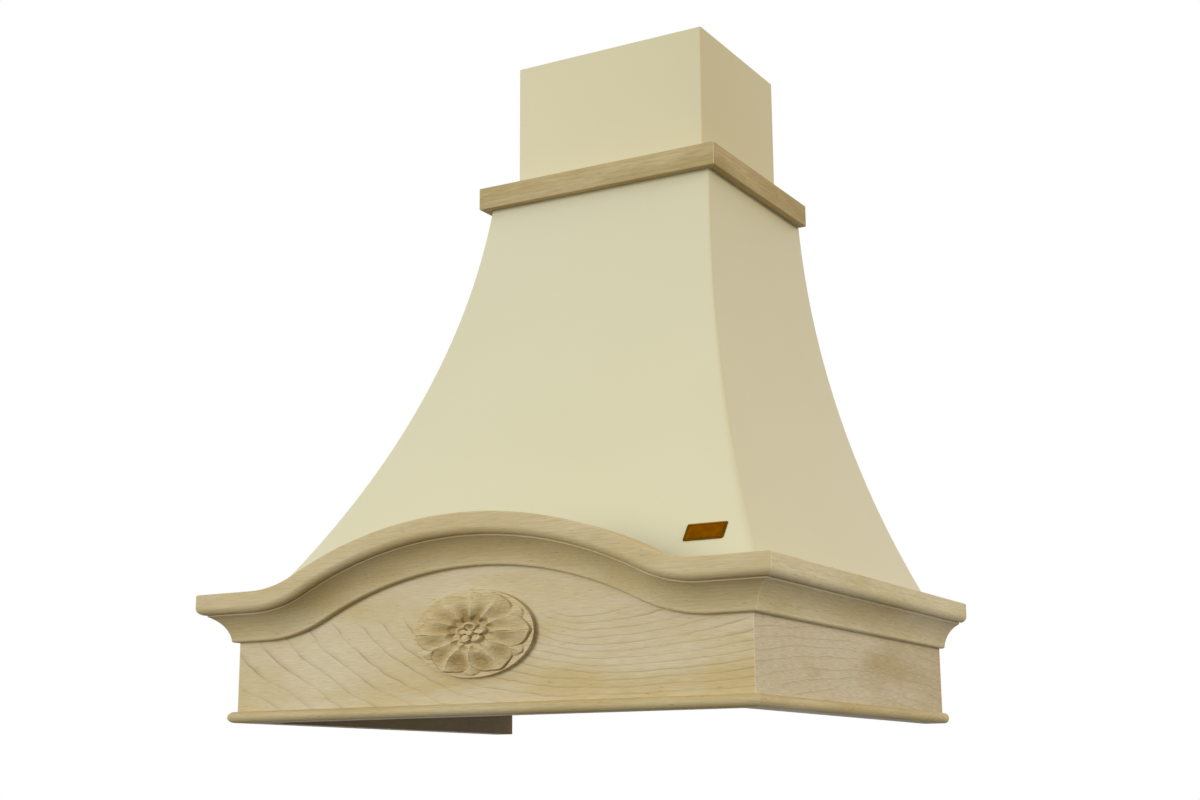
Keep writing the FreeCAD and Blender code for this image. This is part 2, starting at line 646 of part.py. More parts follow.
class Flare:
    """One curved skin seen in profile: upright rim, an arc down to the foot, upright skirt.

    top is the skin's distance from the centre line (sides) or the wall (front) at the collar,
    foot and level are the arc's end, and wall is the board's inner face, which the skirt lies on.
    A foot beyond the wall rests on the board's top edge, and the sheet steps back in to the
    skirt. inset is measured into the sheet.
    """

    def __init__(self, name, top, foot, level, wall):
        self.top, self.level, self.wall, self.stepped = top, level, wall, foot != wall
        across, rise = f"({foot} - {top})", f"(dim.collar_bottom - {level})"
        chord = derive(name + "_flare_chord", f"sqrt({across} ^ 2 + {rise} ^ 2)")
        reach = derive(name + "_flare_reach", f"sqrt(dim.flare_radius ^ 2 - {chord} ^ 2 / 4)")
        self.centre = derive(name + "_flare_centre",
                             f"({top} + {foot}) / 2 + {reach} * {rise} / {chord}")
        self.centre_z = derive(name + "_flare_centre_z",
                               f"(dim.collar_bottom + {level}) / 2 + {reach} * {across} / {chord}")

    def radius(self, inset):
        return f"(dim.flare_radius + {inset})"

    def height_at(self, distance, inset):
        return f"({self.centre_z} - sqrt({self.radius(inset)} ^ 2 - ({self.centre} - ({distance})) ^ 2))"

    def distance_at(self, height, inset):
        return f"({self.centre} - sqrt({self.radius(inset)} ^ 2 - ({self.centre_z} - ({height})) ^ 2))"

    def run(self, inset, upper, lower):
        """Corners down the skin from a height in the rim to one in the skirt."""
        top, wall = f"({self.top} - {inset})", f"({self.wall} - {inset})"
        if self.stepped:
            ledge = f"({self.level} + {inset})"
            foot = [(self.distance_at(ledge, inset), ledge), (wall, ledge)]
        else:
            foot = [(wall, self.height_at(wall, inset))]
        return [(top, upper), (top, self.height_at(top, inset), self.radius(inset), 1)] + foot \
            + [(wall, lower)]

    def band(self, out):
        """Outline of the sheet: rim, flare and skirt."""
        inner = self.run("dim.sheet_thickness", RIM_TOP, SKIRT_BOTTOM)
        return facing(self.run("0", RIM_TOP, SKIRT_BOTTOM) + backwards(inner), out)

    def outside(self, inset, out):
        """Outline of the space outside the skin, for trimming what crosses it."""
        clear = f"({self.wall} + 3 * dim.board_thickness)"
        over, under = f"{RIM_TOP} + dim.rim_height", f"{SKIRT_BOTTOM} - dim.rim_height"
        return facing(self.run(inset, over, under) + [(clear, under), (clear, over)], out)

    def edging(self, out):
        """Outline of the flange that follows the sheet's back edge inwards."""
        inset, wide = "(dim.sheet_thickness / 2)", "dim.back_flange"
        top, wall = f"({self.top} - {inset})", f"({self.wall} - {inset})"
        inner = [(f"{wall} - {wide}", SKIRT_BOTTOM),
                 (f"{wall} - {wide}", self.height_at(wall, inset), self.radius(inset), -1),
                 (f"{top} - {wide}", self.height_at(top, inset)),
                 (f"{top} - {wide}", TOP_BOARD_BOTTOM)]
        return facing(self.run(inset, TOP_BOARD_BOTTOM, SKIRT_BOTTOM) + inner, out)


def backwards(corners):
    """The same run of corners from its end to its start."""
    bends = [(corner[2], -corner[3]) if corner[2:] else () for corner in corners]
    return [corner[:2] + bend for corner, bend in zip(reversed(corners), bends[-2::-1] + [()])]


def facing(corners, out):
    """Corners given as distances outwards, turned to the left or right of a sketch."""
    return [(f"{out} * ({corner[0]})", corner[1]) + ((corner[2], corner[3] * out) if corner[2:] else ())
            for corner in corners]


SIDE_FLARE = Flare("side", HALF_TOP, f"({HALF_WIDTH} - dim.side_foot_inset)", BOARD_TOP, INSIDE_X)
FRONT_FLARE = Flare("front", TOP_DEPTH, INSIDE_FRONT, f"({BOARD_TOP} - dim.front_foot_drop)",
                    INSIDE_FRONT)


def canopy(front_screws, side_screws):
    """Three curved panels that butt at the corners, with a rim, a top flange and a skirt."""
    top_sheet = (TOP_BOARD_TOP, RIM_TOP)
    overrun = "dim.board_thickness"
    inner_half = f"({HALF_TOP} - dim.rim_flange)"
    front = prism("canopy_front_blank", "YZ_Plane", FRONT_FLARE.band(-1),
                  f"-({INSIDE_X} + {overrun})", f"2 * ({INSIDE_X} + {overrun})")
    pocket(front, "XZ_Plane", [SIDE_FLARE.outside("dim.sheet_thickness", side) for side in (-1, 1)])
    flange = [("-1 * " + inner_half, top_sheet[0]), (inner_half, top_sheet[0]),
              (inner_half, top_sheet[1]), ("-1 * " + inner_half, top_sheet[1])]
    pad(front, "XZ_Plane", flange, f"{TOP_DEPTH} - dim.rim_flange",
        "dim.rim_flange - dim.sheet_thickness / 2")
    keep("canopy_front", cut("canopy_front", front, front_screws))
    for side, hand in ((-1, "left"), (1, "right")):
        name = "canopy_" + hand
        panel = prism(name + "_blank", "XZ_Plane", SIDE_FLARE.band(side), "dim.canopy_wall_gap",
                      f"{INSIDE_FRONT} + {overrun} - dim.canopy_wall_gap")
        pocket(panel, "YZ_Plane", [FRONT_FLARE.outside("0", -1)])
        shelf = facing([(f"{HALF_TOP} - dim.sheet_thickness / 2", top_sheet[0]),
                        (inner_half, top_sheet[0]), (inner_half, top_sheet[1]),
                        (f"{HALF_TOP} - dim.sheet_thickness / 2", top_sheet[1])], side)
        pad(panel, "XZ_Plane", shelf, "dim.canopy_wall_gap",
            f"{TOP_DEPTH} - dim.sheet_thickness - dim.canopy_wall_gap")
        pad(panel, "XZ_Plane", SIDE_FLARE.edging(side), "dim.canopy_wall_gap", "dim.sheet_thickness")
        keep(name, cut(name, panel, side_screws))


def skirt_screw_group():
    """Pan-head screws through the canopy's skirt into the boards."""
    level = f"{SKIRT_BOTTOM} + dim.skirt_screw_lift"
    length = "dim.sheet_thickness + dim.board_thickness - dim.screw_skin"
    skirt = "dim.sheet_thickness"
    across = spread(f"-0.75 * {INSIDE_X}", f"0.75 * {INSIDE_X}", 4)
    along = spread("-0.3 * dim.hood_depth", "-0.7 * dim.hood_depth", 2)
    sets = [([(x, f"-({INSIDE_FRONT} - {skirt})", level) for x in across], FORWARD, length)]
    for side in (-1, 1):
        sets.append(([(f"{side} * ({INSIDE_X} - {skirt})", y, level) for y in along], RIGHT * side, length))
    return screws("canopy_skirt_screws", pan_screw, sets)


def top_screw_group():
    """Pan-head screws down through the canopy's top flange into the top board."""
    length = "dim.sheet_thickness + dim.top_board_thickness - dim.screw_skin"
    inset = "(dim.rim_flange / 2)"
    spots = [(f"{side} * {HALF_TOP} / 2", f"-({TOP_DEPTH} - {inset})", RIM_TOP)
             for side in (-1, 1)]
    for side in (-1, 1):
        for y in spread(f"-0.2 * {TOP_DEPTH}", f"-0.8 * {TOP_DEPTH}", 3):
            spots.append((f"{side} * ({HALF_TOP} - {inset})", y, RIM_TOP))
    return screws("top_board_screws", pan_screw, [(spots, UP * -1, length)])


def top_board(fixing):
    """Board in the canopy's mouth; its opening guides the chimney."""
    edge = f"({HALF_TOP} - dim.sheet_thickness)"
    gap = "dim.chimney_clearance"
    blank = box("top_board_blank", (f"-{edge}", edge),
                (BACK_FACE, f"{TOP_DEPTH} - dim.sheet_thickness"),
                (TOP_BOARD_BOTTOM, TOP_BOARD_TOP))
    opening = box("chimney_opening", (f"-({HALF_CHIMNEY} + {gap})", f"{HALF_CHIMNEY} + {gap}"),
                  (f"dim.chimney_wall_gap - {gap}", f"{CHIMNEY_FRONT} + {gap}"),
                  (f"{TOP_BOARD_BOTTOM} - 1", f"{TOP_BOARD_TOP} + 1"))
    keep("top_board", cut("top_board", blank, [opening, fixing]))


def collars():
    """Three square strips round the canopy's rim, mitred at the front corners."""
    heights = ("dim.collar_bottom", "dim.collar_height")
    thick, reach = "dim.collar_thickness", "(2 * dim.collar_thickness)"
    outer_x = f"({HALF_TOP} + {thick})"
    outer_front = f"({TOP_DEPTH} + {thick})"
    plans = {
        "front": [(f"-{outer_x}", f"-{outer_front}"), (outer_x, f"-{outer_front}"),
                  (HALF_TOP, f"-{TOP_DEPTH}"), (f"-{HALF_TOP}", f"-{TOP_DEPTH}")],
    }
    for side, hand in ((-1, "left"), (1, "right")):
        plans[hand] = [(f"{side} * {HALF_TOP}", "-(dim.collar_wall_gap)"),
                       (f"{side} * {outer_x}", "-(dim.collar_wall_gap)"),
                       (f"{side} * {outer_x}", f"-{outer_front}"),
                       (f"{side} * {HALF_TOP}", f"-{TOP_DEPTH}")]
    for hand, plan in plans.items():
        keep("collar_" + hand, prism("collar_" + hand, "XY_Plane", plan, *heights))


# ---------------------------------------------------------------- chimney and wall fixings

def chimney(bracket_screws):
    """Folded sheet open at the back, with a return along each back edge."""
    thin, bend = "dim.chimney_sheet", "dim.chimney_bend"
    inner_bend = "(dim.chimney_bend - dim.chimney_sheet)"
    back, front = "-(dim.chimney_wall_gap)", f"-{CHIMNEY_FRONT}"
    inner_x = f"({HALF_CHIMNEY} - {thin})"
    edge = f"({HALF_CHIMNEY} - dim.chimney_return)"
    outside = [(edge, back), (f"{HALF_CHIMNEY} - {bend}", back, bend, -1),
               (HALF_CHIMNEY, f"{back} - {bend}"), (HALF_CHIMNEY, f"{front} + {bend}", bend, -1),
               (f"{HALF_CHIMNEY} - {bend}", front)]
    inside = [(f"{HALF_CHIMNEY} - {bend}", f"{front} + {thin}", inner_bend, 1),
              (inner_x, f"{front} + {bend}"),
              (inner_x, f"{back} - {bend}", inner_bend, 1),
              (f"{HALF_CHIMNEY} - {bend}", f"{back} - {thin}"), (edge, f"{back} - {thin}")]
    plan = outside + mirrored(outside) + mirrored(inside) + inside
    blank = prism("chimney_cover_blank", "XY_Plane", plan, "dim.chimney_bottom", "dim.chimney_length")
    keep("chimney_cover", cut("chimney_cover", blank, [bracket_screws]))


def mirrored(corners):
    """The same run of corners on the left, in the reverse order, arcs with it."""
    points = [(f"-({corner[0]})", corner[1]) for corner in reversed(corners)]
    bends = [corner[2:] for corner in reversed(corners)][1:] + [()]
    return [point + bend for point, bend in zip(points, bends)]


def chimney_bracket():
    """Hat-shaped steel bracket from the wall to the chimney's returns, with its two screws."""
    thin = "dim.bracket_sheet"
    web = f"({HALF_CHIMNEY} - dim.chimney_return)"
    ear = f"({HALF_CHIMNEY} - dim.chimney_bend)"
    low = "(dim.chimney_bottom + dim.chimney_length - dim.bracket_drop - dim.bracket_height)"
    right = [(web, "0"), (web, f"-(dim.chimney_wall_gap - {thin})"),
             (ear, f"-(dim.chimney_wall_gap - {thin})"), (ear, "-(dim.chimney_wall_gap)"),
             (f"{web} - {thin}", "-(dim.chimney_wall_gap)"), (f"{web} - {thin}", f"-{thin}")]
    blank = prism("chimney_bracket_blank", "XY_Plane", right + mirrored(right), low, "dim.bracket_height")
    level = f"{low} + dim.bracket_height / 2"
    inside = "-(dim.chimney_wall_gap + dim.chimney_sheet)"
    spots = [(f"{side} * ({web} + dim.screw_head * 0.9)", inside, level) for side in (-1, 1)]
    fixing = screws("chimney_bracket_screws", pan_screw,
                    [(spots, FORWARD * -1, "dim.chimney_sheet + 4 * dim.bracket_sheet")])
    holes = wall_holes("chimney_bracket", "dim.bracket_hole_spacing", level, thin)
    keep("chimney_bracket", cut("chimney_bracket", blank, [fixing] + holes))
    return fixing


def rest_half():
    """Half length of the chimney rest: it just fits between the canopy's side panels."""
    return f"({SIDE_FLARE.distance_at('dim.chimney_bottom', 'dim.sheet_thickness')} - dim.rest_clearance)"


def back_screw_groups():
    """Screws from the wall side, through the back flanges into the hanging cleat and the rest."""
    length = "dim.sheet_thickness + dim.hang_cleat_thickness - dim.screw_skin"
    behind = "-(dim.canopy_wall_gap)"
    groups = {}
    upper = f"({HALF_TOP} - dim.sheet_thickness - dim.back_flange / 2)"
    rows = [f"{TOP_BOARD_BOTTOM} - dim.hang_cleat_height * {part}" for part in (0.25, 0.75)]
    spots = [(f"{side} * {upper}", behind, z) for side in (-1, 1) for z in rows]
    groups["hanging_cleat"] = screws("hanging_cleat_screws", pan_screw, [(spots, FORWARD, length)])
    level = "dim.chimney_bottom - dim.rest_thickness / 2"
    spots = [(f"{side} * ({rest_half()} - dim.back_flange / 2)", behind, level) for side in (-1, 1)]
    groups["rest"] = screws("chimney_rest_screws", pan_screw, [(spots, FORWARD, length)])
    return groups


def cleats_and_rest(back_screws):
    """Hanging cleat and wall cleat that hook together on a 45 degree face, and the chimney rest."""
    back, thick = BACK_FACE, "dim.hang_cleat_thickness"
    low = f"({TOP_BOARD_BOTTOM} - dim.hang_cleat_height)"
    half = f"({HALF_TOP} - dim.sheet_thickness - dim.rest_clearance)"
    section = [(f"-{back}", low), (f"-{back}", TOP_BOARD_BOTTOM),
               (f"-({back} + {thick})", TOP_BOARD_BOTTOM), (f"-({back} + {thick})", f"{low} + {thick}")]
    hanging = prism("hanging_cleat_blank", "YZ_Plane", section, f"-{half}", f"2 * {half}")
    keep("hanging_cleat", cut("hanging_cleat", hanging, [back_screws["hanging_cleat"]]))
    hook, wall_thick = f"({low} - {back})", "dim.wall_cleat_thickness"
    bottom = f"({hook} + {wall_thick} - dim.wall_cleat_height)"
    section = [("0", bottom), ("0", hook), (f"-({wall_thick})", f"{hook} + {wall_thick}"),
               (f"-({wall_thick})", bottom)]
    blank = prism("wall_cleat_blank", "YZ_Plane", section,
                  "-(dim.wall_cleat_width / 2)", "dim.wall_cleat_width")
    level = f"{bottom} + (dim.wall_cleat_height - {wall_thick}) / 2"
    holes = wall_holes("wall_cleat", "dim.cleat_hole_spacing", level, wall_thick)
    keep("wall_cleat", cut("wall_cleat", blank, holes))
    rest = box("chimney_rest_blank", (f"-{rest_half()}", rest_half()), (back, f"{back} + dim.rest_depth"),
               ("dim.chimney_bottom - dim.rest_thickness", "dim.chimney_bottom"))
    keep("chimney_rest", cut("chimney_rest", rest, [back_screws["rest"]]))


# ---------------------------------------------------------------- badge

def badge():
    """Small blank plate stuck flat on the slope of the canopy's front."""
    half_x, half_y, bend = "(dim.badge_width / 2)", "(dim.badge_height / 2)", "dim.badge_round"
    corners = []
    for step_x, step_y, first in ((1, -1, "x"), (1, 1, "y"), (-1, 1, "x"), (-1, -1, "y")):
        before_x = (f"{step_x} * ({half_x} - {bend})", f"{step_y} * {half_y}")
        before_y = (f"{step_x} * {half_x}", f"{step_y} * ({half_y} - {bend})")
        start, end = (before_x, before_y) if first == "x" else (before_y, before_x)
        corners += [start + (bend, 1), end]
    plate = prism("badge_plate", "XY_Plane", corners, "0", "dim.badge_thickness")
    flare = FRONT_FLARE
    slope = f"asin(({flare.centre_z} - dim.badge_level) / dim.flare_radius)"
    out = "(dim.flare_radius - dim.badge_film)"
    plate.Placement.Rotation = FreeCAD.Rotation(FreeCAD.Vector(1, 0, 0), 45)
    plate.setExpression("Placement.Rotation.Angle", f"90 deg - {slope}")
    place(plate, (f"{INSIDE_X} - dim.badge_inset", f"-({flare.centre} - {out} * cos({slope}))",
                  f"{flare.centre_z} - {out} * sin({slope})"))
    keep("badge_plate", plate)


# ---------------------------------------------------------------- assembly and export

def build():
    crown_screws = crown_screw_group()
    panel_screws = panel_screw_group()
    skirt_screws = skirt_screw_group()
    top_screws = top_screw_group()
    block_screws = corner_blocks()
    cleat_screws = panel_cleats(panel_screws)
    dowels = back_rail(panel_screws)
    rosette_screws = rosette()
    back_screws = back_screw_groups()
    shared = [crown_screws, skirt_screws, block_screws, cleat_screws]
    boards({"front": shared + [rosette_screws], "side": shared + [dowels]})
    beads()
    crowns(crown_screws)
    insert_panel(panel_screws)
    canopy([skirt_screws, top_screws], [skirt_screws, top_screws] + list(back_screws.values()))
    top_board(top_screws)
    collars()
    chimney(chimney_bracket())
    cleats_and_rest(back_screws)
    badge()


def check_and_export():
    """Refuses a failed object, then writes one file per piece."""
    doc.recompute()
    for item in doc.Objects:
        if {"Invalid", "Error"} & set(item.State):
            raise ValueError(item.Name + " failed: " + str(item.State))
    for name, piece in nodes.items():
        if piece.Shape.isNull() or not piece.Shape.isValid() or not piece.Shape.Solids:
            raise ValueError(name + " is not a sound solid")
    os.makedirs("parts", exist_ok=True)
    for name, piece in nodes.items():
        piece.Shape.exportStep(f"parts/{name}.step")
        print(f"{name}: {len(piece.Shape.Solids)} solid(s), {piece.Shape.Volume / 1000:.1f} cm3")


build()
check_and_export()
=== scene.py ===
import math

import bmesh
import bpy
import numpy as np
from mathutils import Matrix, Vector


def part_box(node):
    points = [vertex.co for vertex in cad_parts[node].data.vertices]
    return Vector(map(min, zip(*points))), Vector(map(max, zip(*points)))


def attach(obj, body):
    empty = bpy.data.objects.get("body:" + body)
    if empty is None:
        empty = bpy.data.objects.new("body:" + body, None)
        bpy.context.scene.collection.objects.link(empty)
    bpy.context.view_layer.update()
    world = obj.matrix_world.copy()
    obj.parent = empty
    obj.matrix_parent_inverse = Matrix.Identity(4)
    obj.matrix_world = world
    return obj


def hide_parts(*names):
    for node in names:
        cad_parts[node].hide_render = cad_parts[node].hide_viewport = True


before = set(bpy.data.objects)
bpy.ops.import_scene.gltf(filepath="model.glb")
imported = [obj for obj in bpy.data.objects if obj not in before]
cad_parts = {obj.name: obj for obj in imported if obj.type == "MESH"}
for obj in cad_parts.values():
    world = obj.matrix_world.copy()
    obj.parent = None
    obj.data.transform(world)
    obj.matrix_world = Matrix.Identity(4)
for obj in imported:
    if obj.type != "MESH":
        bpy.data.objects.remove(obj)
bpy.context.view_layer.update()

MM = 0.001


# ============================================================ boards of the base frame
# Three planed beech boards, 22 mm thick, glued in mitres at the two front corners. The front
# board is sawn to the arch of the crown at its top. Raw wood, sanded, arrises just broken.

def linear(code):
    """Linear colour of an sRGB hex code: each channel through the sRGB curve."""
    parts = [int(code[place:place + 2], 16) / 255 for place in (1, 3, 5)]
    return tuple(c / 12.92 if c <= 0.04045 else ((c + 0.055) / 1.055) ** 2.4 for c in parts) + (1.0,)


def add(tree, kind, settings=None, inputs=None):
    """Adds one shader node. Settings are its own properties, and stops those of a colour ramp.

    Each input is linked to a socket, or set to a value. Inputs without a name of their own go by
    number: MapRange takes 1 to 2 onto 3 to 4, and a colour Mix goes from 6 to 7 by the share 0.
    """
    item = tree.nodes.new("ShaderNode" + kind)
    for key, value in (settings or {}).items():
        if key == "stops":
            for index, (place, colour) in enumerate(value):
                stop = item.color_ramp.elements[index] if index < 2 else item.color_ramp.elements.new(place)
                stop.position, stop.color = place, colour
        else:
            setattr(item, key, value)
    for key, value in (inputs or {}).items():
        if isinstance(value, bpy.types.NodeSocket):
            tree.links.new(value, item.inputs[key])
        else:
            item.inputs[key].default_value = value
    return item


def new_material(name):
    """An empty node material with its output node."""
    material = bpy.data.materials.new(name)
    material.use_nodes = True
    material.node_tree.nodes.clear()
    return material, material.node_tree, add(material.node_tree, "OutputMaterial")


# Turn that brings the grain's axis onto x.
TURN = {"X": (0, 0, 0), "Y": (0, 0, math.pi / 2), "Z": (0, math.pi / 2, 0)}


def grain_cells(tree, turned, along, across, shift=0.0):
    """Coordinates that count cells of along by across mm. The shift keeps patterns apart."""
    scale = (1 / (along * MM), 1 / (across * MM), 1 / (across * MM))
    return add(tree, "Mapping", None, {"Vector": turned, "Scale": scale,
                                       "Location": (shift, shift * 1.7, shift * 0.6)}).outputs[0]


def growth_rings(tree, turned, face, spacing, aspect, centre=(0, 0, 0), sway=3.0, crowd=(1, 1), fan=0.0,
                 lean=0.0):
    """Late wood, 0 to 1, in nested long ovals round a centre in mm.

    Rings lie spacing mm apart across the grain and aspect times as far apart along it, on the
    centre's low and its high side. A crowd power below 1 sets them wider from 60 mm out. Fan sets
    them wider across the grain too, by that share at 300 mm on the low side. Lean slants the nest
    like italics, and sway bends the rings. Face is how far the board's outer face lies from the
    wall or the middle plane: behind it the rings tip by 0.7 of the depth. Each ring darkens
    slowly and ends sharply.
    """
    crowd_reach, fan_reach, tip = 60 * MM, 300 * MM, 0.7
    off = add(tree, "VectorMath", {"operation": "SUBTRACT"}, {0: turned, 1: [c * MM for c in centre]})
    from_centre = add(tree, "SeparateXYZ", None, {0: off.outputs[0]})
    slanted = add(tree, "Math", {"operation": "MULTIPLY_ADD"}, {
        0: from_centre.outputs[2], 1: lean, 2: from_centre.outputs[0]})
    reaches = []
    for sign, stretch, power in zip((-1, 1), aspect, crowd):
        share = crowd_reach / (spacing * MM * stretch * power)
        far = add(tree, "Math", {"operation": "MULTIPLY_ADD"}, {
            0: slanted.outputs[0], 1: sign / crowd_reach, 2: 1.0})
        one_side = add(tree, "Math", {"operation": "MAXIMUM"}, {0: far.outputs[0], 1: 1.0})
        eased = add(tree, "Math", {"operation": "POWER"}, {0: one_side.outputs[0], 1: power})
        reaches.append(add(tree, "Math", {"operation": "MULTIPLY_ADD"}, {
            0: eased.outputs[0], 1: share, 2: -share}).outputs[0])
    along_grain = add(tree, "Math", {"operation": "SUBTRACT"}, {0: reaches[1], 1: reaches[0]})

    thickness = add(tree, "SeparateXYZ", None, {0: turned})
    outward = add(tree, "Math", {"operation": "ABSOLUTE"}, {0: thickness.outputs[1]})
    through = add(tree, "Math", {"operation": "SUBTRACT"}, {0: outward.outputs[0], 1: face})
    tipped = add(tree, "Math", {"operation": "MULTIPLY_ADD"}, {
        0: through.outputs[0], 1: tip, 2: from_centre.outputs[2]})
    spread = add(tree, "MapRange", {"interpolation_type": "SMOOTHSTEP"}, {
        0: slanted.outputs[0], 1: 0.0, 2: -fan_reach, 3: spacing * MM, 4: (1 + fan) * spacing * MM})
    over_grain = add(tree, "Math", {"operation": "DIVIDE"}, {0: tipped.outputs[0], 1: spread.outputs[0]})

    oval = add(tree, "CombineXYZ", None, {0: along_grain.outputs[0], 2: over_grain.outputs[0]})
    one_ring = math.pi / 10    # the scale at which a ring is one unit wide
    rings = add(tree, "TexWave", {"wave_type": "RINGS", "rings_direction": "Y", "wave_profile": "SAW"},
                {"Vector": oval.outputs[0], "Scale": one_ring, "Distortion": sway, "Detail": 2.0,
                 "Detail Scale": 1.2, "Detail Roughness": 0.55})
    darkening = ((0.0, 0.75), (1.0, 1.0), (0.05, 0.0), (0.72, 0.0), (0.92, 0.25))
    late = add(tree, "ValToRGB", {"stops": [(at, (v, v, v, 1)) for at, v in darkening]},
               {0: rings.outputs["Fac"]})
    return late.outputs[0]


def ray_flecks(tree, turned):
    """Wood rays, 0 to 1: a short dark dash in every fifth cell or so of 15 by 1.5 mm."""
    cells = add(tree, "TexVoronoi", {"feature": "F1"}, {
        "Vector": grain_cells(tree, turned, 15, 1.5, 1.3), "Scale": 1.0})
    near = add(tree, "MapRange", None, {0: cells.outputs["Distance"], 1: 0.10, 2: 0.26, 3: 1.0, 4: 0.0})
    chosen = add(tree, "SeparateColor", None, {0: cells.outputs["Color"]})
    some = add(tree, "MapRange", None, {0: chosen.outputs[0], 1: 0.80, 2: 0.99})
    return add(tree, "Math", {"operation": "MULTIPLY"}, {0: near.outputs[0], 1: some.outputs[0]}).outputs[0]


def end_grain(tree, place, grain):
    """How far a face is turned to the grain's end, 0 to 1, and the brown of its clumps of pores,
    drawn 1.4 mm wide so that they show."""
    axis = {"X": (1, 0, 0), "Y": (0, 1, 0), "Z": (0, 0, 1)}[grain]
    facing = add(tree, "VectorMath", {"operation": "DOT_PRODUCT"}, {0: place.outputs["Normal"], 1: axis})
    along = add(tree, "Math", {"operation": "ABSOLUTE"}, {0: facing.outputs["Value"]})
    share = add(tree, "MapRange", None, {0: along.outputs[0], 1: 0.82, 2: 0.95})
    pores = add(tree, "TexNoise", None, {
        "Vector": place.outputs["Object"], "Scale": 0.7 / MM, "Detail": 2.0})
    brown = add(tree, "ValToRGB", {"stops": [(0.3, linear("#8E7550")), (0.7, linear("#B8A074"))]},
                {0: pores.outputs[0]})
    return share.outputs[0], brown.outputs[0]


def facing_middle(tree, place, spot):
    """1 on a face turned to the middle plane, where its normal's x and its own x differ in sign."""
    normal = add(tree, "SeparateXYZ", None, {0: place.outputs["Normal"]})
    inward = add(tree, "Math", {"operation": "MULTIPLY"}, {0: normal.outputs[0], 1: spot.outputs[0]})
    return add(tree, "MapRange", None, {0: inward.outputs[0], 1: -0.05, 2: -0.15}).outputs[0]


def mitre_highlight(tree, spot, mitre):
    """A painted highlight line 1 mm wide, at most 0.45, where |x| + y is the mitre's sum."""
    across = add(tree, "Math", {"operation": "ABSOLUTE"}, {0: spot.outputs[0]})
    reach = add(tree, "Math", {"operation": "ADD"}, {0: across.outputs[0], 1: spot.outputs[1]})
    apart = add(tree, "Math", {"operation": "SUBTRACT"}, {0: reach.outputs[0], 1: mitre})
    gap = add(tree, "Math", {"operation": "ABSOLUTE"}, {0: apart.outputs[0]})
    return add(tree, "MapRange", None, {
        0: gap.outputs[0], 1: 0.3 * MM, 2: 0.9 * MM, 3: 0.45, 4: 0.0}).outputs[0]


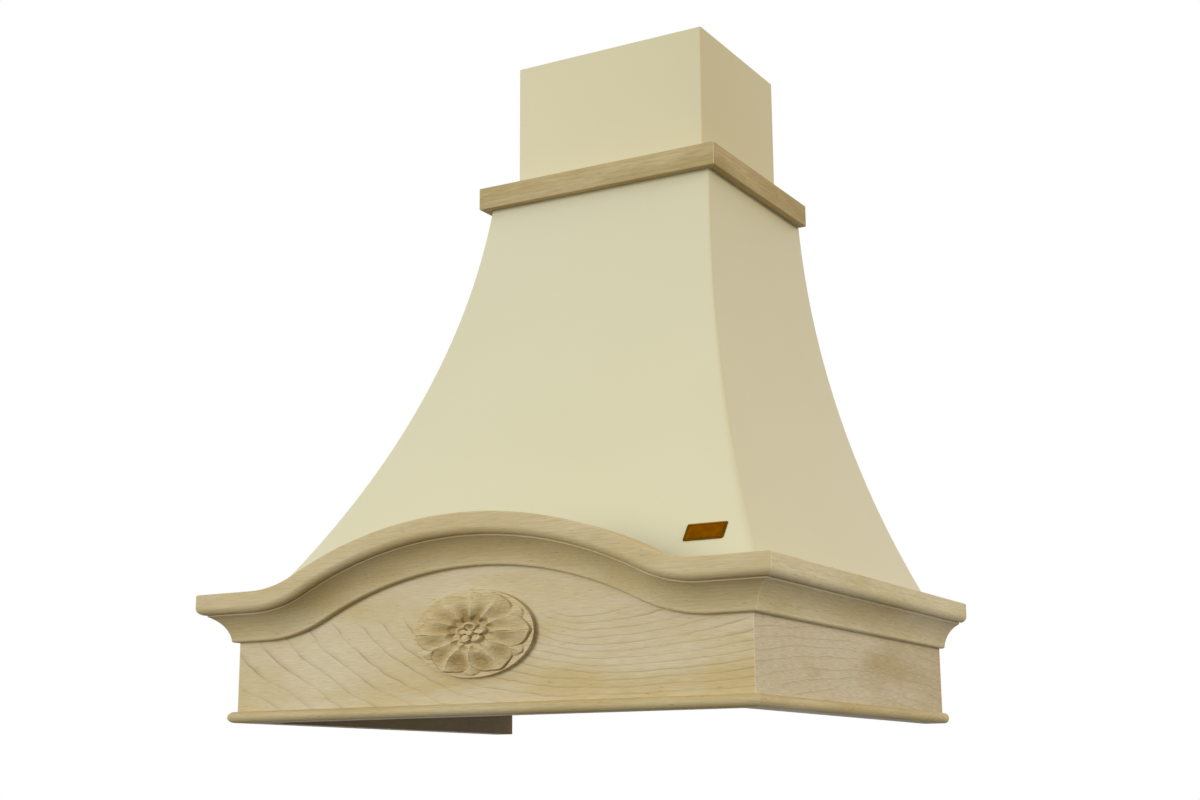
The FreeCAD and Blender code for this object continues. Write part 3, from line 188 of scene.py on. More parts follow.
def beech(name, grain, pale, warm, line, face=0.0, figure=0.5, streaks=0.5, flecks=0.5, drift=(0, 0, 0),
          band=None, mitre=None, inner=None, shade_attribute=None, roughness=0.62, **rings):
    """Raw beech, planed and sanded, with its grain along one axis: pale, dull and finely streaked.

    The ground goes from pale to warm in clouds of 160 by 38 mm, and by drift for each metre.
    Growth rings in the line colour show by the share figure, less in some patches, and not above
    the height band, where the grain runs straight. Streaks are the fibres, drawn 0.8 mm wide so
    that they show, and flecks the dark rays. End grain is browner. Mitre is the sum |x| + y at
    the glued joint, where a pale line paints the highlight on the broken edge. Inner darkens the
    face turned to the middle with painted shade. A named attribute, from 0 to 1, darkens carved
    hollows with painted shade.
    """
    material, tree, output = new_material(name)
    place = add(tree, "TexCoord")
    spot = add(tree, "SeparateXYZ", None, {0: place.outputs["Object"]})
    turned = add(tree, "Mapping", {"vector_type": "TEXTURE"},
                 {"Vector": place.outputs["Object"], "Rotation": TURN[grain]}).outputs[0]

    clouds = add(tree, "TexNoise", None, {"Vector": grain_cells(tree, turned, 160, 38, 7.7), "Scale": 1.0,
                                          "Detail": 3.0, "Roughness": 0.55})
    drifting = add(tree, "VectorMath", {"operation": "DOT_PRODUCT"}, {0: place.outputs["Object"], 1: drift})
    cloudy = add(tree, "Math", {"operation": "ADD"}, {0: clouds.outputs[0], 1: drifting.outputs["Value"]})
    tone = add(tree, "MapRange", None, {0: cloudy.outputs[0], 1: 0.36, 2: 0.66})
    ground = add(tree, "Mix", {"data_type": "RGBA"}, {0: tone.outputs[0], 6: linear(pale), 7: linear(warm)})

    patchy = add(tree, "TexNoise", None, {"Vector": grain_cells(tree, turned, 90, 22, 3.1), "Scale": 1.0,
                                          "Detail": 2.0})
    patches = add(tree, "MapRange", None, {
        0: patchy.outputs[0], 1: 0.36, 2: 0.60, 3: 0.3 * figure, 4: figure})
    ring_mask = add(tree, "Math", {"operation": "MULTIPLY"}, {
        0: growth_rings(tree, turned, face, **rings), 1: patches.outputs[0]})
    if band is not None:
        under = add(tree, "MapRange", None, {
            0: spot.outputs[2], 1: band - 6 * MM, 2: band + 3 * MM, 3: 1.0, 4: 0.0})
        ring_mask = add(tree, "Math", {"operation": "MULTIPLY"}, {
            0: ring_mask.outputs[0], 1: under.outputs[0]})
    figured = add(tree, "Mix", {"data_type": "RGBA"}, {
        0: ring_mask.outputs[0], 6: ground.outputs[2], 7: linear(line)})

    fibre = add(tree, "TexNoise", None, {"Vector": grain_cells(tree, turned, 16, 0.8), "Scale": 1.0,
                                         "Detail": 4.0, "Roughness": 0.6})
    fibre_tone = add(tree, "MapRange", None, {
        0: fibre.outputs[0], 1: 0.3, 2: 0.7, 3: 1 - 0.16 * streaks, 4: 1 + 0.12 * streaks})
    fibred = add(tree, "Mix", {"data_type": "RGBA", "blend_type": "MULTIPLY", "clamp_result": False}, {
        0: 1.0, 6: figured.outputs[2], 7: fibre_tone.outputs[0]})
    fleck_share = add(tree, "Math", {"operation": "MULTIPLY"}, {0: ray_flecks(tree, turned), 1: flecks})
    flecked = add(tree, "Mix", {"data_type": "RGBA", "blend_type": "MULTIPLY"}, {
        0: fleck_share.outputs[0], 6: fibred.outputs[2], 7: linear("#A88D62")})

    end_share, end_brown = end_grain(tree, place, grain)
    colour = add(tree, "Mix", {"data_type": "RGBA"}, {
        0: end_share, 6: flecked.outputs[2], 7: end_brown}).outputs[2]
    # Painted shade: the named attribute darkens carved hollows towards #BAA76C.
    if shade_attribute is not None:
        deep = add(tree, "Attribute", {"attribute_name": shade_attribute})
        colour = add(tree, "Mix", {"data_type": "RGBA", "blend_type": "MULTIPLY"}, {
            0: deep.outputs["Fac"], 6: colour, 7: linear("#BAA76C")}).outputs[2]
    # Painted shade: faces turned to the frame's middle are multiplied by the inner colour.
    if inner is not None:
        colour = add(tree, "Mix", {"data_type": "RGBA", "blend_type": "MULTIPLY"}, {
            0: facing_middle(tree, place, spot), 6: colour, 7: linear(inner)}).outputs[2]
    # Painted highlight: a pale line along the broken edge at the mitre.
    if mitre is not None:
        colour = add(tree, "Mix", {"data_type": "RGBA"}, {
            0: mitre_highlight(tree, spot, mitre), 6: colour, 7: linear("#E3D9BC")}).outputs[2]

    dents = add(tree, "Math", {"operation": "SUBTRACT"}, {0: fibre.outputs[0], 1: fleck_share.outputs[0]})
    bump = add(tree, "Bump", None, {"Strength": 0.35, "Distance": 0.12 * MM, "Height": dents.outputs[0]})
    wear = add(tree, "MapRange", None, {
        0: clouds.outputs[0], 1: 0.3, 2: 0.7, 3: roughness - 0.05, 4: roughness + 0.08})
    shader = add(tree, "BsdfPrincipled", None, {
        "Base Color": colour, "Roughness": wear.outputs[0], "IOR": 1.5, "Normal": bump.outputs[0]})
    tree.links.new(shader.outputs[0], output.inputs[0])
    return material


def solid(name, rings, material, body, nodes, crease=32):
    """Closed skin over rings, an array of stations by points by 3, with both ends capped.

    Point i of station k joins point i + 1 of its own ring and point i of the next one. The piece
    rides on a body and stands for CAD nodes, which it hides.
    """
    stations, points, _ = rings.shape
    step = np.arange(points)
    ahead = (step + 1) % points
    starts = (np.arange(stations - 1) * points)[:, None]
    quads = np.stack([starts + step, starts + ahead, starts + points + ahead, starts + points + step], -1)
    last = (stations - 1) * points
    faces = quads.reshape(-1, 4).tolist() + [list(range(points)), list(range(last, last + points))]
    mesh = bpy.data.meshes.new(name)
    mesh.from_pydata(rings.reshape(-1, 3).tolist(), [], faces)
    shell = bmesh.new()
    shell.from_mesh(mesh)
    bmesh.ops.remove_doubles(shell, verts=shell.verts, dist=1e-6)
    bmesh.ops.recalc_face_normals(shell, faces=shell.faces)
    shell.to_mesh(mesh)
    shell.free()
    mesh.shade_smooth()
    mesh.set_sharp_from_angle(angle=math.radians(crease))
    mesh.materials.append(material)
    piece = bpy.data.objects.new(name, mesh)
    bpy.context.scene.collection.objects.link(piece)
    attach(piece, body)
    if nodes:
        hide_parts(*nodes)
    return piece


def rounded_rectangle(width, height, radius, steps=4):
    """Outline from (0, 0) to (width, height), each corner a quarter circle."""
    turn = np.linspace(0, math.pi / 2, steps)
    corners = ((width - radius, height - radius, 0), (radius, height - radius, 1),
               (radius, radius, 2), (width - radius, radius, 3))
    arcs = [np.stack([cx + radius * np.cos(turn + quarter * math.pi / 2),
                      cy + radius * np.sin(turn + quarter * math.pi / 2)], -1)
            for cx, cy, quarter in corners]
    return np.concatenate(arcs)


def side_run(out, up, half, depth, side, wall_gap=0.0, stations=9):
    """Straight piece down one side, square at the wall and mitred at the front."""
    share = np.linspace(0, 1, stations)[:, None]
    y = -(wall_gap + share * (depth + out - wall_gap))
    return np.stack([np.broadcast_to(side * (half + out), y.shape), y, np.broadcast_to(up, y.shape)], -1)


front_low, front_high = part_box("front_board")
HALF = front_high[0]
DEPTH = -front_low[1]
BOARD = front_high[1] - front_low[1]
SIDE_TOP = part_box("side_board_right")[1][2]
FRAME_MITRE = HALF - DEPTH
arris = 0.7 * MM

crown_bottom = 84 * MM
arch_half_span, arch_rise, crest_radius = 261 * MM, 61.4 * MM, 411 * MM
arch_sum = (arch_half_span ** 2 + arch_rise ** 2) / (2 * arch_rise)
foot_radius = arch_sum - crest_radius
meet_angle = math.asin(arch_half_span / arch_sum)


def along_arch(out, lift, steps=26):
    """Places along the arch of points that stand out of the board's face and lift over the lip.

    A level run from the mitre to the foot, a hollow arc of radius foot - lift about the foot's
    centre, then the round crest of radius crest + lift; the left half mirrors the right.
    """
    run = np.linspace(1, 0, 5)[:-1, None]
    swing = np.linspace(0, meet_angle, steps)[:-1, None]
    over = np.linspace(meet_angle, 0, 2 * steps)[:, None]
    x = np.concatenate([arch_half_span + run * (HALF + out - arch_half_span),
                        arch_half_span - (foot_radius - lift) * np.sin(swing),
                        (crest_radius + lift) * np.sin(over)])
    z = np.concatenate([crown_bottom + lift + 0 * run * out,
                        crown_bottom + foot_radius - (foot_radius - lift) * np.cos(swing),
                        crown_bottom + arch_rise - crest_radius + (crest_radius + lift) * np.cos(over)])
    return np.concatenate([-x, x[-2::-1]]), np.concatenate([z, z[-2::-1]])


section = rounded_rectangle(BOARD, 2 * arris, arris)
inset, rise = section[:, 0], section[:, 1]
upper = rise > arris
top_x, top_z = along_arch(-inset, np.full(inset.shape, SIDE_TOP - crown_bottom))
board_z = np.where(upper, top_z + rise - 2 * arris, rise)
board_rings = np.stack([top_x, np.broadcast_to(inset - DEPTH, top_x.shape), board_z], -1)
front_beech = beech("beech_front_board", "X", "#CBBC96", "#C4AF78", "#8D784E", DEPTH, spacing=6.8,
                    aspect=(1.1, 4.9), crowd=(0.15, 1), fan=0.8, lean=0.75, centre=(95, 0, 110), sway=2.4,
                    figure=0.72, streaks=0.85, flecks=0.6, drift=(0, 0, -0.8), band=97 * MM,
                    mitre=FRAME_MITRE)
solid("front_board_dressed", board_rings, front_beech, "root", ["front_board"])

side_section = rounded_rectangle(BOARD, SIDE_TOP, arris)
# The side boards' inner colour is painted shade on their inside faces.
side_beech = beech("beech_side_board", "Y", "#D3CAAF", "#BDAE87", "#9A8864", HALF, spacing=9,
                   aspect=(7, 6), centre=(-205, 0, -7), sway=4.5, figure=0.48, streaks=1.4, flecks=0.8,
                   drift=(0.5, 0.9, 0), mitre=FRAME_MITRE, inner="#937F4C")
for side, hand in ((-1, "left"), (1, "right")):
    rings = side_run(-side_section[:, 0], side_section[:, 1], HALF, DEPTH, side)
    solid("side_board_" + hand + "_dressed", rings, side_beech, "root", ["side_board_" + hand])


# ============================================================ nosing along the bottom edge
# Half-round beech beads, 11.5 mm high, glued round the boards level with their underside and
# mitred at the front corners. Raw and sanded, a shade yellower than the boards.

def front_run(out, up, half, depth, stations=9):
    """Straight piece along the front, mitred at both ends: x runs to half + out either way."""
    share = np.linspace(-1, 1, stations)[:, None]
    x = share * (half + out)
    return np.stack([x, np.broadcast_to(-(depth + out), x.shape), np.broadcast_to(up, x.shape)], -1)


bead_height = 11.5 * MM
bead_projection = 7.6 * MM
bead_stations = 33
nose = np.linspace(-math.pi / 2, math.pi / 2, 15)
bead_out = np.concatenate([[0], bead_projection - bead_height / 2 * (1 - np.cos(nose)), [0]])
bead_up = np.concatenate([[0], bead_height / 2 * (1 + np.sin(nose)), [bead_height]])
bead_cuts = (("X", "#C0AF82", "#B8A46F", DEPTH), ("Y", "#CDBF92", "#B9A876", HALF))
bead_beech = {grain: beech("beech_bead_" + grain.lower(), grain, pale, warm, "#97835A", face, spacing=7,
                           aspect=(20, 20), centre=(0, 0, 160), figure=0.3, streaks=1.0, flecks=0.8)
              for grain, pale, warm, face in bead_cuts}
solid("base_bead_front_dressed", front_run(bead_out, bead_up, HALF, DEPTH, bead_stations), bead_beech["X"],
      "root", ["base_bead_front"])
for side, hand in ((-1, "left"), (1, "right")):
    rings = side_run(bead_out, bead_up, HALF, DEPTH, side, stations=bead_stations)
    solid("base_bead_" + hand + "_dressed", rings, bead_beech["Y"], "root", ["base_bead_" + hand])


# ============================================================ crown moulding
# Solid beech moulding of lip, deep cove, fine fillet with a groove behind it, and round-bottomed
# fascia. The front piece is sawn to the arch from one wide board, so its grain runs straight on.
# Mitred, glued, and screwed from inside the boards.

crown_height, crown_arris = 49.6 * MM, 0.8 * MM
lip_projection, lip_round, lip_height = 6.5 * MM, 2.4 * MM, 3 * MM
cove_width, cove_rise, cove_radius = 18.5 * MM, 23.7 * MM, 31.5 * MM
fillet_height, soffit_width, fascia_round, crown_edge = 1.5 * MM, 1.7 * MM, 7.3 * MM, 1.5 * MM
quirk = 1.1 * MM
crown_out = lip_projection + cove_width + soffit_width + fascia_round


def quarter(centre_out, centre_up, radius, first, last, steps):
    """Arc of the crown's section between two angles in degrees, as out and up."""
    angle = np.radians(np.linspace(first, last, steps))
    return np.stack([centre_out + radius * np.cos(angle), centre_up + radius * np.sin(angle)], -1)


soffit_up = lip_height + cove_rise + fillet_height
cove_chord = math.hypot(cove_width, cove_rise)
cove_reach = math.sqrt(cove_radius ** 2 - cove_chord ** 2 / 4)
cove_centre = (lip_projection + cove_width / 2 + cove_reach * cove_rise / cove_chord,
               lip_height + cove_rise / 2 - cove_reach * cove_width / cove_chord)
cove_start = math.degrees(math.atan2(lip_height - cove_centre[1], lip_projection - cove_centre[0])) % 360
cove_turn = math.degrees(2 * math.asin(cove_chord / 2 / cove_radius))
crown_section = np.concatenate([
    [[0, 0]],
    quarter(lip_projection - lip_round, lip_round, lip_round, -90, 0, 6),
    quarter(*cove_centre, cove_radius, cove_start, cove_start - cove_turn, 20),
    [[lip_projection + cove_width, soffit_up + quirk],
     [crown_out - fascia_round - quirk, soffit_up + quirk]],
    quarter(crown_out - fascia_round, soffit_up + fascia_round, fascia_round, -90, 0, 12),
    quarter(crown_out - crown_edge, crown_height - crown_edge, crown_edge, 0, 90, 6),
    [[crown_arris, crown_height], [0, crown_height - crown_arris]],
])
out, up = crown_section[:, 0], crown_section[:, 1]
arch_x, arch_z = along_arch(out, up)
crown_rings = np.stack([arch_x, np.broadcast_to(-(DEPTH + out), arch_x.shape), arch_z], -1)
crown_front_beech = beech("beech_crown_front", "X", "#C7B78C", "#BFAA76", "#967F52", DEPTH, spacing=5.2,
                          aspect=(14, 14), centre=(120, 0, 40), sway=3.5, figure=0.36, streaks=0.85,
                          flecks=0.7, mitre=FRAME_MITRE)
solid("crown_front_dressed", crown_rings, crown_front_beech, "root", ["crown_front"])
crown_side_beech = beech("beech_crown_side", "Y", "#D9D0AD", "#CDC195", "#9E8B61", HALF, spacing=6,
                         aspect=(16, 16), centre=(-260, 0, 60), sway=4, figure=0.32, streaks=1.1,
                         flecks=0.9, mitre=FRAME_MITRE)
for side, hand in ((-1, "left"), (1, "right")):
    rings = side_run(out, crown_bottom + up, HALF, DEPTH, side, stations=17)
    solid("crown_" + hand + "_dressed", rings, crown_side_beech, "root", ["crown_" + hand])


# ============================================================ carved rosette
# Oval beech plaque carved with a flower of six veined petals, small leaf tips between them and a
# five-lobed heart, glued and screwed to the front board. A shade yellower than the board.

rosette_low, rosette_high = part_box("rosette")
rosette_half = (rosette_high[0] - rosette_low[0]) / 2, (rosette_high[2] - rosette_low[2]) / 2
rosette_centre = (rosette_high[2] + rosette_low[2]) / 2
rosette_relief = rosette_high[1] - rosette_low[1]


def smooth(low, high, value):
    """Soft step from 0 at low to 1 at high."""
    share = np.clip((value - low) / (high - low), 0, 1)
    return share * share * (3 - 2 * share)


# Depth in mm of the twelve scoops, and how far out each is deepest, anticlockwise from the right.
SCOOP_DEPTH = np.array([2.2, 2.8, 3.8, 4.0, 2.9, 3.0, 2.8, 2.9, 3.9, 3.9, 3.0, 2.9])
SCOOP_PLACE = np.array([0.52, 0.58, 0.44, 0.42, 0.50, 0.46, 0.62, 0.66, 0.66, 0.64, 0.64, 0.55])
SIXTH = math.pi / 3
# Heights in mm over the plaque's back.
GROUND, PETAL_EDGE, HEART_TOP = 4.9, 5.9, 8.5


def from_midrib(angle):
    """Angle to the nearest petal's midrib, from 0 to a twelfth of a turn."""
    return np.abs((angle + SIXTH / 2) % SIXTH - SIXTH / 2)


def petal_fold(reach, angle):
    """Relief of the six petals in mm, and how deep in a scoop each place lies, from 0 to 1, which sets
    painted shade.

    A bowl round the heart rises to a fold and falls away to the petals' ends. Twelve radial
    crests, six midribs and six seams, have a scoop between each two, |sin 6a| across.
    """
    away = from_midrib(angle)
    share = away / (SIXTH / 2)
    wander = angle + 0.035 * np.sin(9 * reach + 2 * angle)
    scoop = np.floor(wander / (SIXTH / 2)).astype(int) % 12
    depth, place = SCOOP_DEPTH[scoop], SCOOP_PLACE[scoop]
    across = np.abs(np.sin(6 * wander)) ** 0.8
    wall = smooth(0.215 + 0.05 * across, 0.36 + 0.10 * across, reach)
    fold = 4.6 + 5.9 * wall - 2.6 * smooth(0.55, 0.98, reach)
    dip = across * (depth * np.exp(-((reach - place) / 0.21) ** 2) + 0.9 * smooth(0.5, 0.9, reach))
    dip *= smooth(0.22, 0.33, reach) * smooth(1.06, 0.9, reach)
    seams = 0.9 * share ** 4 * smooth(0.42, 0.7, reach)
    vein = 0.7 * np.exp(-(away * reach / 0.010) ** 2) * np.cos(angle) ** 8 * smooth(0.35, 0.45, reach)
    marks = 0.10 * np.sin(23 * angle + 31 * reach) * np.sin(47 * reach - 11 * angle)
    return fold - dip - seams - vein + marks * wall, np.clip(dip / 3.4 * (0.55 + 0.45 * across), 0, 1)


def flower(reach, angle):
    """Relief of petals, leaves and ground in mm, and painted shade from 0 to 1: in the scoops, on the
    bowl's upper wall round the heart, and in the grooves round the lower petal ends.

    The petals end in a blunt tip, cut square down to the ground and softer at the top, with a
    groove along it. A small roof-shaped leaf peeks out from behind each two petals.
    """
    petal, scooped = petal_fold(reach, angle)
    away = from_midrib(angle)
    share = away / (SIXTH / 2)
    end = 0.962 - 0.14 * share - 0.12 * share ** 5 + 0.006 * np.sin(17 * angle)
    aside = (SIXTH / 2 - away) * reach
    blunt = np.sqrt(np.clip(1 - (np.maximum(reach - 0.81, 0) / 0.135) ** 2, 0, 1))
    roof = np.clip(1 - aside / (0.165 * blunt + 1e-4), 0, 1) * (reach < 0.945)
    leaf = 5.2 + 3.6 * roof ** 0.8 - 1.8 * smooth(0.74, 0.94, reach) * roof
    outside = np.maximum(GROUND, leaf * (roof > 0))
    soft = 0.008 + 0.014 * smooth(0.0, 0.7, np.sin(angle))
    inside = smooth(end + 0.004, end - soft, reach)
    height = outside + (np.maximum(petal, PETAL_EDGE) - outside) * inside
    groove = np.exp(-((reach - end - 0.010) / 0.010) ** 2) * (1 - inside)
    height -= 0.5 * groove * (0.65 - 0.35 * np.sin(angle))
    upper = 0.5 + 0.5 * np.sin(angle)
    # Painted shade on the bowl's upper wall round the heart, and on the grooves of the lower petal ends.
    ring = smooth(0.20, 0.27, reach) * smooth(0.42, 0.30, reach) * upper ** 2
    return height, scooped * inside * 0.8 + 0.55 * ring + 0.9 * groove * (reach < 0.97) * (1 - upper)


def carving(reach, angle):
    """Relief in mm over the oval, by the share of its radius and the angle in it, and beside it
    the painted shade of each place, from 0 to 1, in hollows, creases and the heart's dimple.

    In the flower's middle sits a heart of five lobes with rolled edges, |cos 2.5a| round it, with
    creases between them, a round boss and a dimple in the top lobe.
    """
    height, hollow = flower(reach, angle)
    lobe_turn = np.abs(np.cos(2.5 * (angle - math.pi / 2 + 0.12 * np.sin(2 * angle))))
    edge = 0.160 + (0.100 + 0.012 * np.sin(3 * angle + 1)) * lobe_turn ** 0.6
    heart = smooth(edge + 0.010, edge - 0.006, reach)
    rolled = 2.3 * np.exp(-((reach - edge + 0.040) / 0.028) ** 2)
    crease = 2.4 * np.exp(-(lobe_turn * reach / 0.035) ** 2) * smooth(0.05, 0.09, reach)
    boss = 3.0 * smooth(0.075, 0.045, reach)
    dimple = 2.0 * np.exp(-((reach - 0.14) / 0.04) ** 2) * lobe_turn ** 4 * np.sin(angle) ** 3
    height += (HEART_TOP + rolled - crease + boss - dimple - height) * heart
    # Painted shade in the heart's creases and its dimple.
    hollow = hollow * (1 - heart) + (0.30 * crease + 0.6 * np.clip(dimple, 0, 1)) * heart
    return height, np.clip(hollow, 0, 1)


angles = np.linspace(0, 2 * math.pi, 577)[:-1]
reaches = np.linspace(0.004, 1, 136)
grid_reach, grid_angle = np.meshgrid(reaches, angles, indexing="ij")
relief = carving(grid_reach, grid_angle)[0] * MM
relief *= rosette_relief / relief.max()
# The rim's broken edge and its foot on the board, as shares of the radius and of its own height.
rim = np.array([[0.9985, 0.96], [1.0, 0.86], [1.0, 0.0]])
rings_reach = np.concatenate([grid_reach[:-1], np.repeat(rim[:, :1], angles.size, 1)])
rings_relief = np.concatenate([relief[:-1], rim[:, 1:] * relief[-1][None, :]])
rings_angle = np.concatenate([grid_angle[:-1], np.repeat(angles[None, :], 3, 0)])
rosette_rings = np.stack([rings_reach * rosette_half[0] * np.cos(rings_angle),
                          -DEPTH - rings_relief,
                          rosette_centre + rings_reach * rosette_half[1] * np.sin(rings_angle)], -1)
# The rosette's material darkens its hollows with painted shade from the attribute set below.
rosette_beech = beech("beech_rosette", "X", "#D0C196", "#C8B382", "#9C8352", DEPTH, spacing=5,
                      aspect=(12, 12), centre=(-90, 0, 30), figure=0.4, streaks=1.8, flecks=0.8,
                      shade_attribute="painted_hollow_shade", roughness=0.66)
rosette = solid("rosette_dressed", rosette_rings, rosette_beech, "root", ["rosette"], crease=50)
spots = np.zeros(len(rosette.data.vertices) * 3)
rosette.data.vertices.foreach_get("co", spots)
across, high = spots[0::3] / rosette_half[0], (spots[2::3] - rosette_centre) / rosette_half[1]
# Painted shade of the carving, 0 to 1, stored on the points for the material.
painted_hollow_shade = rosette.data.attributes.new("painted_hollow_shade", "FLOAT", "POINT")
painted_shade_there = carving(np.hypot(across, high), np.arctan2(high, across) % (2 * math.pi))[1]
painted_hollow_shade.data.foreach_set("value", painted_shade_there)


# ============================================================ inner woodwork of the base
# Sawn and planed beech blocks, cleats and rails, and two beech plywood boards: one that the
# extractor hangs in, and one in the canopy's mouth. Screwed, glued or dowelled from inside. These
# keep their solids' shape and get their wood.

block_beech = beech("beech_blocks", "Z", "#CDBB95", "#C4AF85", "#A38D66", spacing=4, aspect=(8, 8),
                    figure=0.4)
rail_beech, cleat_beech = [
    beech(name, grain, "#CBBA94", "#C2AD82", "#A08A62", spacing=5, aspect=(14, 14), figure=0.4)
    for name, grain in (("beech_rail", "X"), ("beech_cleats", "Y"))]


def plywood(name, ply):
    """Beech plywood, sanded: a calm rotary-cut face in bands of 140 by 18 mm, and on the edges
    plies of the given thickness in mm, every second one darker end grain."""
    material, tree, output = new_material(name)
    place = add(tree, "TexCoord")
    sheets = add(tree, "Mapping", None, {"Vector": place.outputs["Object"], "Scale": (
        1 / (140 * MM), 1 / (18 * MM), 1 / (18 * MM))})
    figure = add(tree, "TexNoise", None, {"Vector": sheets.outputs[0], "Scale": 1.0, "Detail": 5.0,
                                          "Distortion": 1.2})
    face = add(tree, "ValToRGB", {"stops": [(0.3, linear("#C9B68C")), (0.7, linear("#B9A274")),
                                            (0.52, linear("#C2AD80"))]}, {0: figure.outputs[0]})
    spot = add(tree, "SeparateXYZ", None, {0: place.outputs["Object"]})
    layer = add(tree, "Math", {"operation": "MULTIPLY"}, {0: spot.outputs[2], 1: math.pi / (ply * MM)})
    beat = add(tree, "Math", {"operation": "SINE"}, {0: layer.outputs[0]})
    plies = add(tree, "ValToRGB", {"stops": [(0.45, linear("#8F744A")), (0.55, linear("#C4B083"))]}, {
        0: add(tree, "MapRange", None, {0: beat.outputs[0], 1: -1.0, 2: 1.0}).outputs[0]})
    facing = add(tree, "SeparateXYZ", None, {0: place.outputs["Normal"]})
    level = add(tree, "Math", {"operation": "ABSOLUTE"}, {0: facing.outputs[2]})
    colour = add(tree, "Mix", {"data_type": "RGBA"}, {
        0: level.outputs[0], 6: plies.outputs[0], 7: face.outputs[0]})
    bump = add(tree, "Bump", None, {"Strength": 0.3, "Distance": 0.1 * MM, "Height": figure.outputs[0]})
    shader = add(tree, "BsdfPrincipled", None, {"Base Color": colour.outputs[2], "Roughness": 0.6,
                                                "Normal": bump.outputs[0]})
    tree.links.new(shader.outputs[0], output.inputs[0])
    return material


def cover(names, material):
    """Gives CAD nodes their material. Their solids stay as they are."""
    for name in names:
        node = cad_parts[name]
        node.data.materials.clear()
        node.data.materials.append(material)


cover(["corner_block_left", "corner_block_right"], block_beech)
cover(["back_rail", "back_rail_dowels", "panel_cleat_front", "hanging_cleat", "wall_cleat", "chimney_rest"],
      rail_beech)
cover(["panel_cleat_left", "panel_cleat_right"], cleat_beech)
cover(["insert_panel", "top_board"], plywood("beech_plywood", 1.5))


# ============================================================ canopy
# Sheet steel 1.5 mm thick: three panels rolled to one radius and joined at soft corners, which
# get rounder towards the foot, with flanges at the wall and round the mouth. Screwed to the
# boards. Satin cream powder coat inside and out.

def cream_coat(name, base, deep):
    """Powder coat, baked on: one calm colour from base to deep in the faintest clouds, 180 mm
    wide, and orange peel about 1 mm across, drawn at 2.5 mm so that it shows in the sheen."""
    material, tree, output = new_material(name)
    place = add(tree, "TexCoord")
    cloud = add(tree, "TexNoise", None, {"Vector": place.outputs["Object"], "Scale": 1 / (180 * MM),
                                         "Detail": 2.0})
    share = add(tree, "MapRange", None, {0: cloud.outputs[0], 1: 0.3, 2: 0.7})
    colour = add(tree, "Mix", {"data_type": "RGBA"}, {
        0: share.outputs[0], 6: linear(base), 7: linear(deep)})
    peel = add(tree, "TexNoise", None, {"Vector": place.outputs["Object"], "Scale": 1 / (2.5 * MM),
                                        "Detail": 1.0})
    bump = add(tree, "Bump", None, {"Strength": 0.06, "Distance": 0.1 * MM, "Height": peel.outputs[0]})
    shader = add(tree, "BsdfPrincipled", None, {
        "Base Color": colour.outputs[2], "Roughness": 0.46, "IOR": 1.5, "Normal": bump.outputs[0]})
    tree.links.new(shader.outputs[0], output.inputs[0])
    return material


cream = cream_coat("cream_powder_coat", "#D1CCAB", "#CFCAA8")
collar_low, collar_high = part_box("collar_front")
panel_low, panel_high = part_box("canopy_right")
skirt_bottom, rim_top = panel_low[2], panel_high[2]
collar_bottom = collar_low[2]
canopy_gap = -panel_high[1]
canopy_sheet, canopy_bend, wall_flange = 1.5 * MM, 2 * MM, 20 * MM
corner_at_collar, corner_at_foot = 2.5 * MM, 12 * MM
flare_radius = 1125 * MM
side_foot_inset, front_foot_drop = 5.5 * MM, 3 * MM
collar_thickness = collar_high[1] - collar_low[1]
top_half = collar_high[0] - collar_thickness
top_depth = -collar_high[1]


class Flare:
    """One curved skin in profile: an arc, centred outside, from its top at the collar down to its
    foot at a level, and upright above the arc. Gives the skin's distance out at a height."""

    def __init__(self, top, foot, level):
        across, rise = foot - top, collar_bottom - level
        chord = math.hypot(across, rise)
        reach = math.sqrt(flare_radius ** 2 - chord ** 2 / 4)
        self.centre = (top + foot) / 2 + reach * rise / chord
        self.centre_z = (collar_bottom + level) / 2 + reach * across / chord

    def at(self, height):
        drop = self.centre_z - np.minimum(height, collar_bottom)
        return self.centre - np.sqrt(flare_radius ** 2 - drop ** 2)


def folded_outline(half, depth, gap, lip, bend, sheet, outer_z, inner_z, front_bend=None, steps=9):
    """Rings of a sheet folded in a U round the front with lips turned in at the wall.

    At each height the outer line runs lip, bend, side, front bend, front, and back the same way;
    the inner line comes back one sheet inside it on the same bend centres.
    """
    front_bend = bend if front_bend is None else front_bend
    half, depth, outer_z, inner_z, fold = (np.broadcast_to(v, outer_z.shape)[:, None]
                                           for v in (half, depth, outer_z, inner_z, front_bend))
    turn = np.linspace(0, math.pi / 2, steps)

    def line(inset, height):
        x = [half - lip, half - bend + (bend - inset) * np.sin(turn),
             half - fold + (fold - inset) * np.cos(turn)]
        y = [gap + inset + 0 * half, gap + bend - (bend - inset) * np.cos(turn) + 0 * half,
             depth - fold + (fold - inset) * np.sin(turn)]
        x, y = np.concatenate(x, 1), np.concatenate(y, 1)
        x, y = np.concatenate([x, -x[:, ::-1]], 1), np.concatenate([y, y[:, ::-1]], 1)
        return np.stack([x, -y, np.broadcast_to(height, x.shape)], -1)

    return np.concatenate([line(0, outer_z), line(sheet, inner_z)[:, ::-1]], 1)


